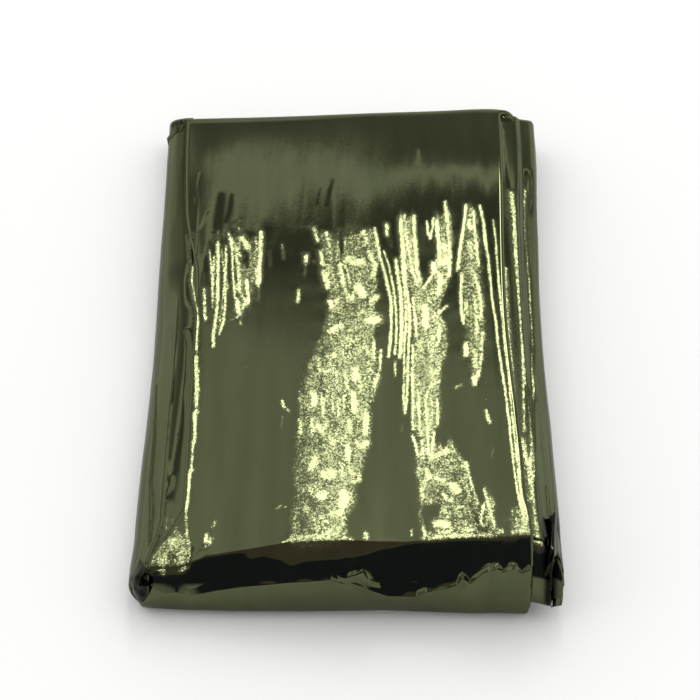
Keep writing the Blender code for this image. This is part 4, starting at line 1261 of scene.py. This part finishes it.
FAR_RIGHT_STEP = (
    ((35.9, 72.2, 13.0), (36.9, 71.7, 12.9), (38.1, 71.0, 12.8), (39.3, 70.7, 12.6)),
    ((35.9, 71.0, 13.0), (37.0, 70.5, 12.9), (38.1, 70.2, 12.7), (39.3, 69.9, 12.5)),
    ((36.0, 69.3, 12.6), (37.1, 69.2, 12.5), (38.1, 69.2, 12.4), (39.3, 69.1, 12.3)),
    ((36.0, 67.7, 12.3), (37.1, 67.8, 12.2), (38.0, 67.9, 12.1), (39.2, 67.9, 12.1)),
)
FAR_LEFT_TUCK = (
    ((-43.3, 72.0, 9.6), (-42.1, 72.2, 9.9), (-40.7, 72.3, 10.2)),
    ((-43.4, 70.7, 9.0), (-42.0, 70.2, 9.9), (-40.3, 70.6, 10.2)),
    ((-43.4, 70.0, 8.4), (-42.2, 68.6, 9.4), (-40.8, 68.9, 9.8)),
    ((-44.5, 68.5, 7.6), (-43.2, 67.9, 8.8), (-42.0, 67.8, 9.2)),
    ((-44.1, 66.8, 6.8), (-43.3, 66.1, 8.2), (-42.4, 65.8, 8.8)),
    ((-44.0, 63.3, 6.2), (-43.5, 63.8, 7.8), (-43.0, 64.2, 8.4)),
)
CREASE_KNOT = (
    ((-2.9, -62.9, 13.3), (-1.4, -63.0, 13.8), (0.4, -62.6, 14.2),
     (2.0, -61.5, 14.1), (3.3, -62.3, 13.8), (5.9, -63.2, 12.2)),
    ((-2.6, -63.4, 12.6), (-1.0, -63.8, 13.3), (0.8, -63.8, 14.5),
     (2.3, -63.4, 15.4), (3.3, -63.5, 13.4), (5.9, -63.8, 11.0)),
    ((-2.4, -63.8, 11.6), (-0.6, -64.1, 12.5), (1.0, -64.0, 11.4),
     (2.9, -64.3, 13.3), (4.3, -64.1, 11.8), (6.3, -64.1, 10.0)),
    ((-2.2, -63.9, 10.1), (-0.4, -64.1, 9.9), (0.8, -64.2, 8.9),
     (2.0, -64.3, 10.6), (3.9, -64.3, 10.2), (6.6, -64.3, 9.0)),
    ((-2.0, -64.2, 8.3), (-0.2, -64.4, 7.9), (1.0, -64.7, 7.3),
     (2.3, -64.7, 8.3), (3.9, -64.4, 8.3), (6.8, -64.4, 7.8)),
    ((-2.1, -64.0, 5.8), (-0.2, -64.0, 5.4), (1.0, -64.1, 5.2),
     (2.3, -64.1, 5.5), (3.9, -64.0, 5.8), (6.8, -64.0, 5.8)),
)


FACETS = 4  # small quads along each side of a net's cell


def crumple(name, net, painted_shade, seed):
    """A net of corner points filled with FACETS x FACETS small quads a cell (bilinear), a
    little uneven; the third argument is painted shade: how far the crumple's base colour is
    painted towards near black, standing in for its own shade, less on its rim."""
    net = np.array(net)
    for axis in (0, 1):
        count = net.shape[axis]
        fine = np.linspace(0, count - 1.0, (count - 1) * FACETS + 1)
        low = np.clip(fine.astype(int), 0, count - 2)
        part = (fine - low).reshape((-1, 1, 1) if axis == 0 else (1, -1, 1))
        net = np.take(net, low, axis) * (1 - part) + np.take(net, low + 1, axis) * part
    rows, columns = np.meshgrid(np.arange(net.shape[0]), np.arange(net.shape[1]), indexing="ij")
    net[:, :, 2] = np.maximum(net[:, :, 2] + 0.06 * lattice_noise(columns, rows, 2.0, 3.0, seed), LOWEST)
    piece = dress(grid_mesh(name, net, flip=True))
    none = np.zeros(rows.shape)
    rim = (columns == 0) | (columns == net.shape[1] - 1) | (rows == 0)
    # Painted shade for each facet, a little uneven, painted less dark along the rim.
    painted_facet_shade = painted_shade * (0.93 + 0.1 * lattice_noise(columns, rows, 3.0, 2.0, seed + 5))
    mark(piece, (none, none, none, np.clip(painted_facet_shade, 0, 1) * (1 - 0.7 * rim)))
    return piece


# The third number is painted shade: how far each crumple's colour goes to near black.
for name, net, painted_shade, seed in (
    ("left_crumple", LEFT_CRUMPLE, 0.92, 81),
    ("right_torn_corner", RIGHT_TORN, 0.95, 82),
    ("outer_fold", OUTER_FOLD, 0.0, 83),
    ("crease_knot", CREASE_KNOT, 0.0, 84),
    ("far_right_step", FAR_RIGHT_STEP, 0.0, 85),
    ("far_left_tuck", FAR_LEFT_TUCK, 0.45, 86),
):
    crumple(name, net, painted_shade, seed)
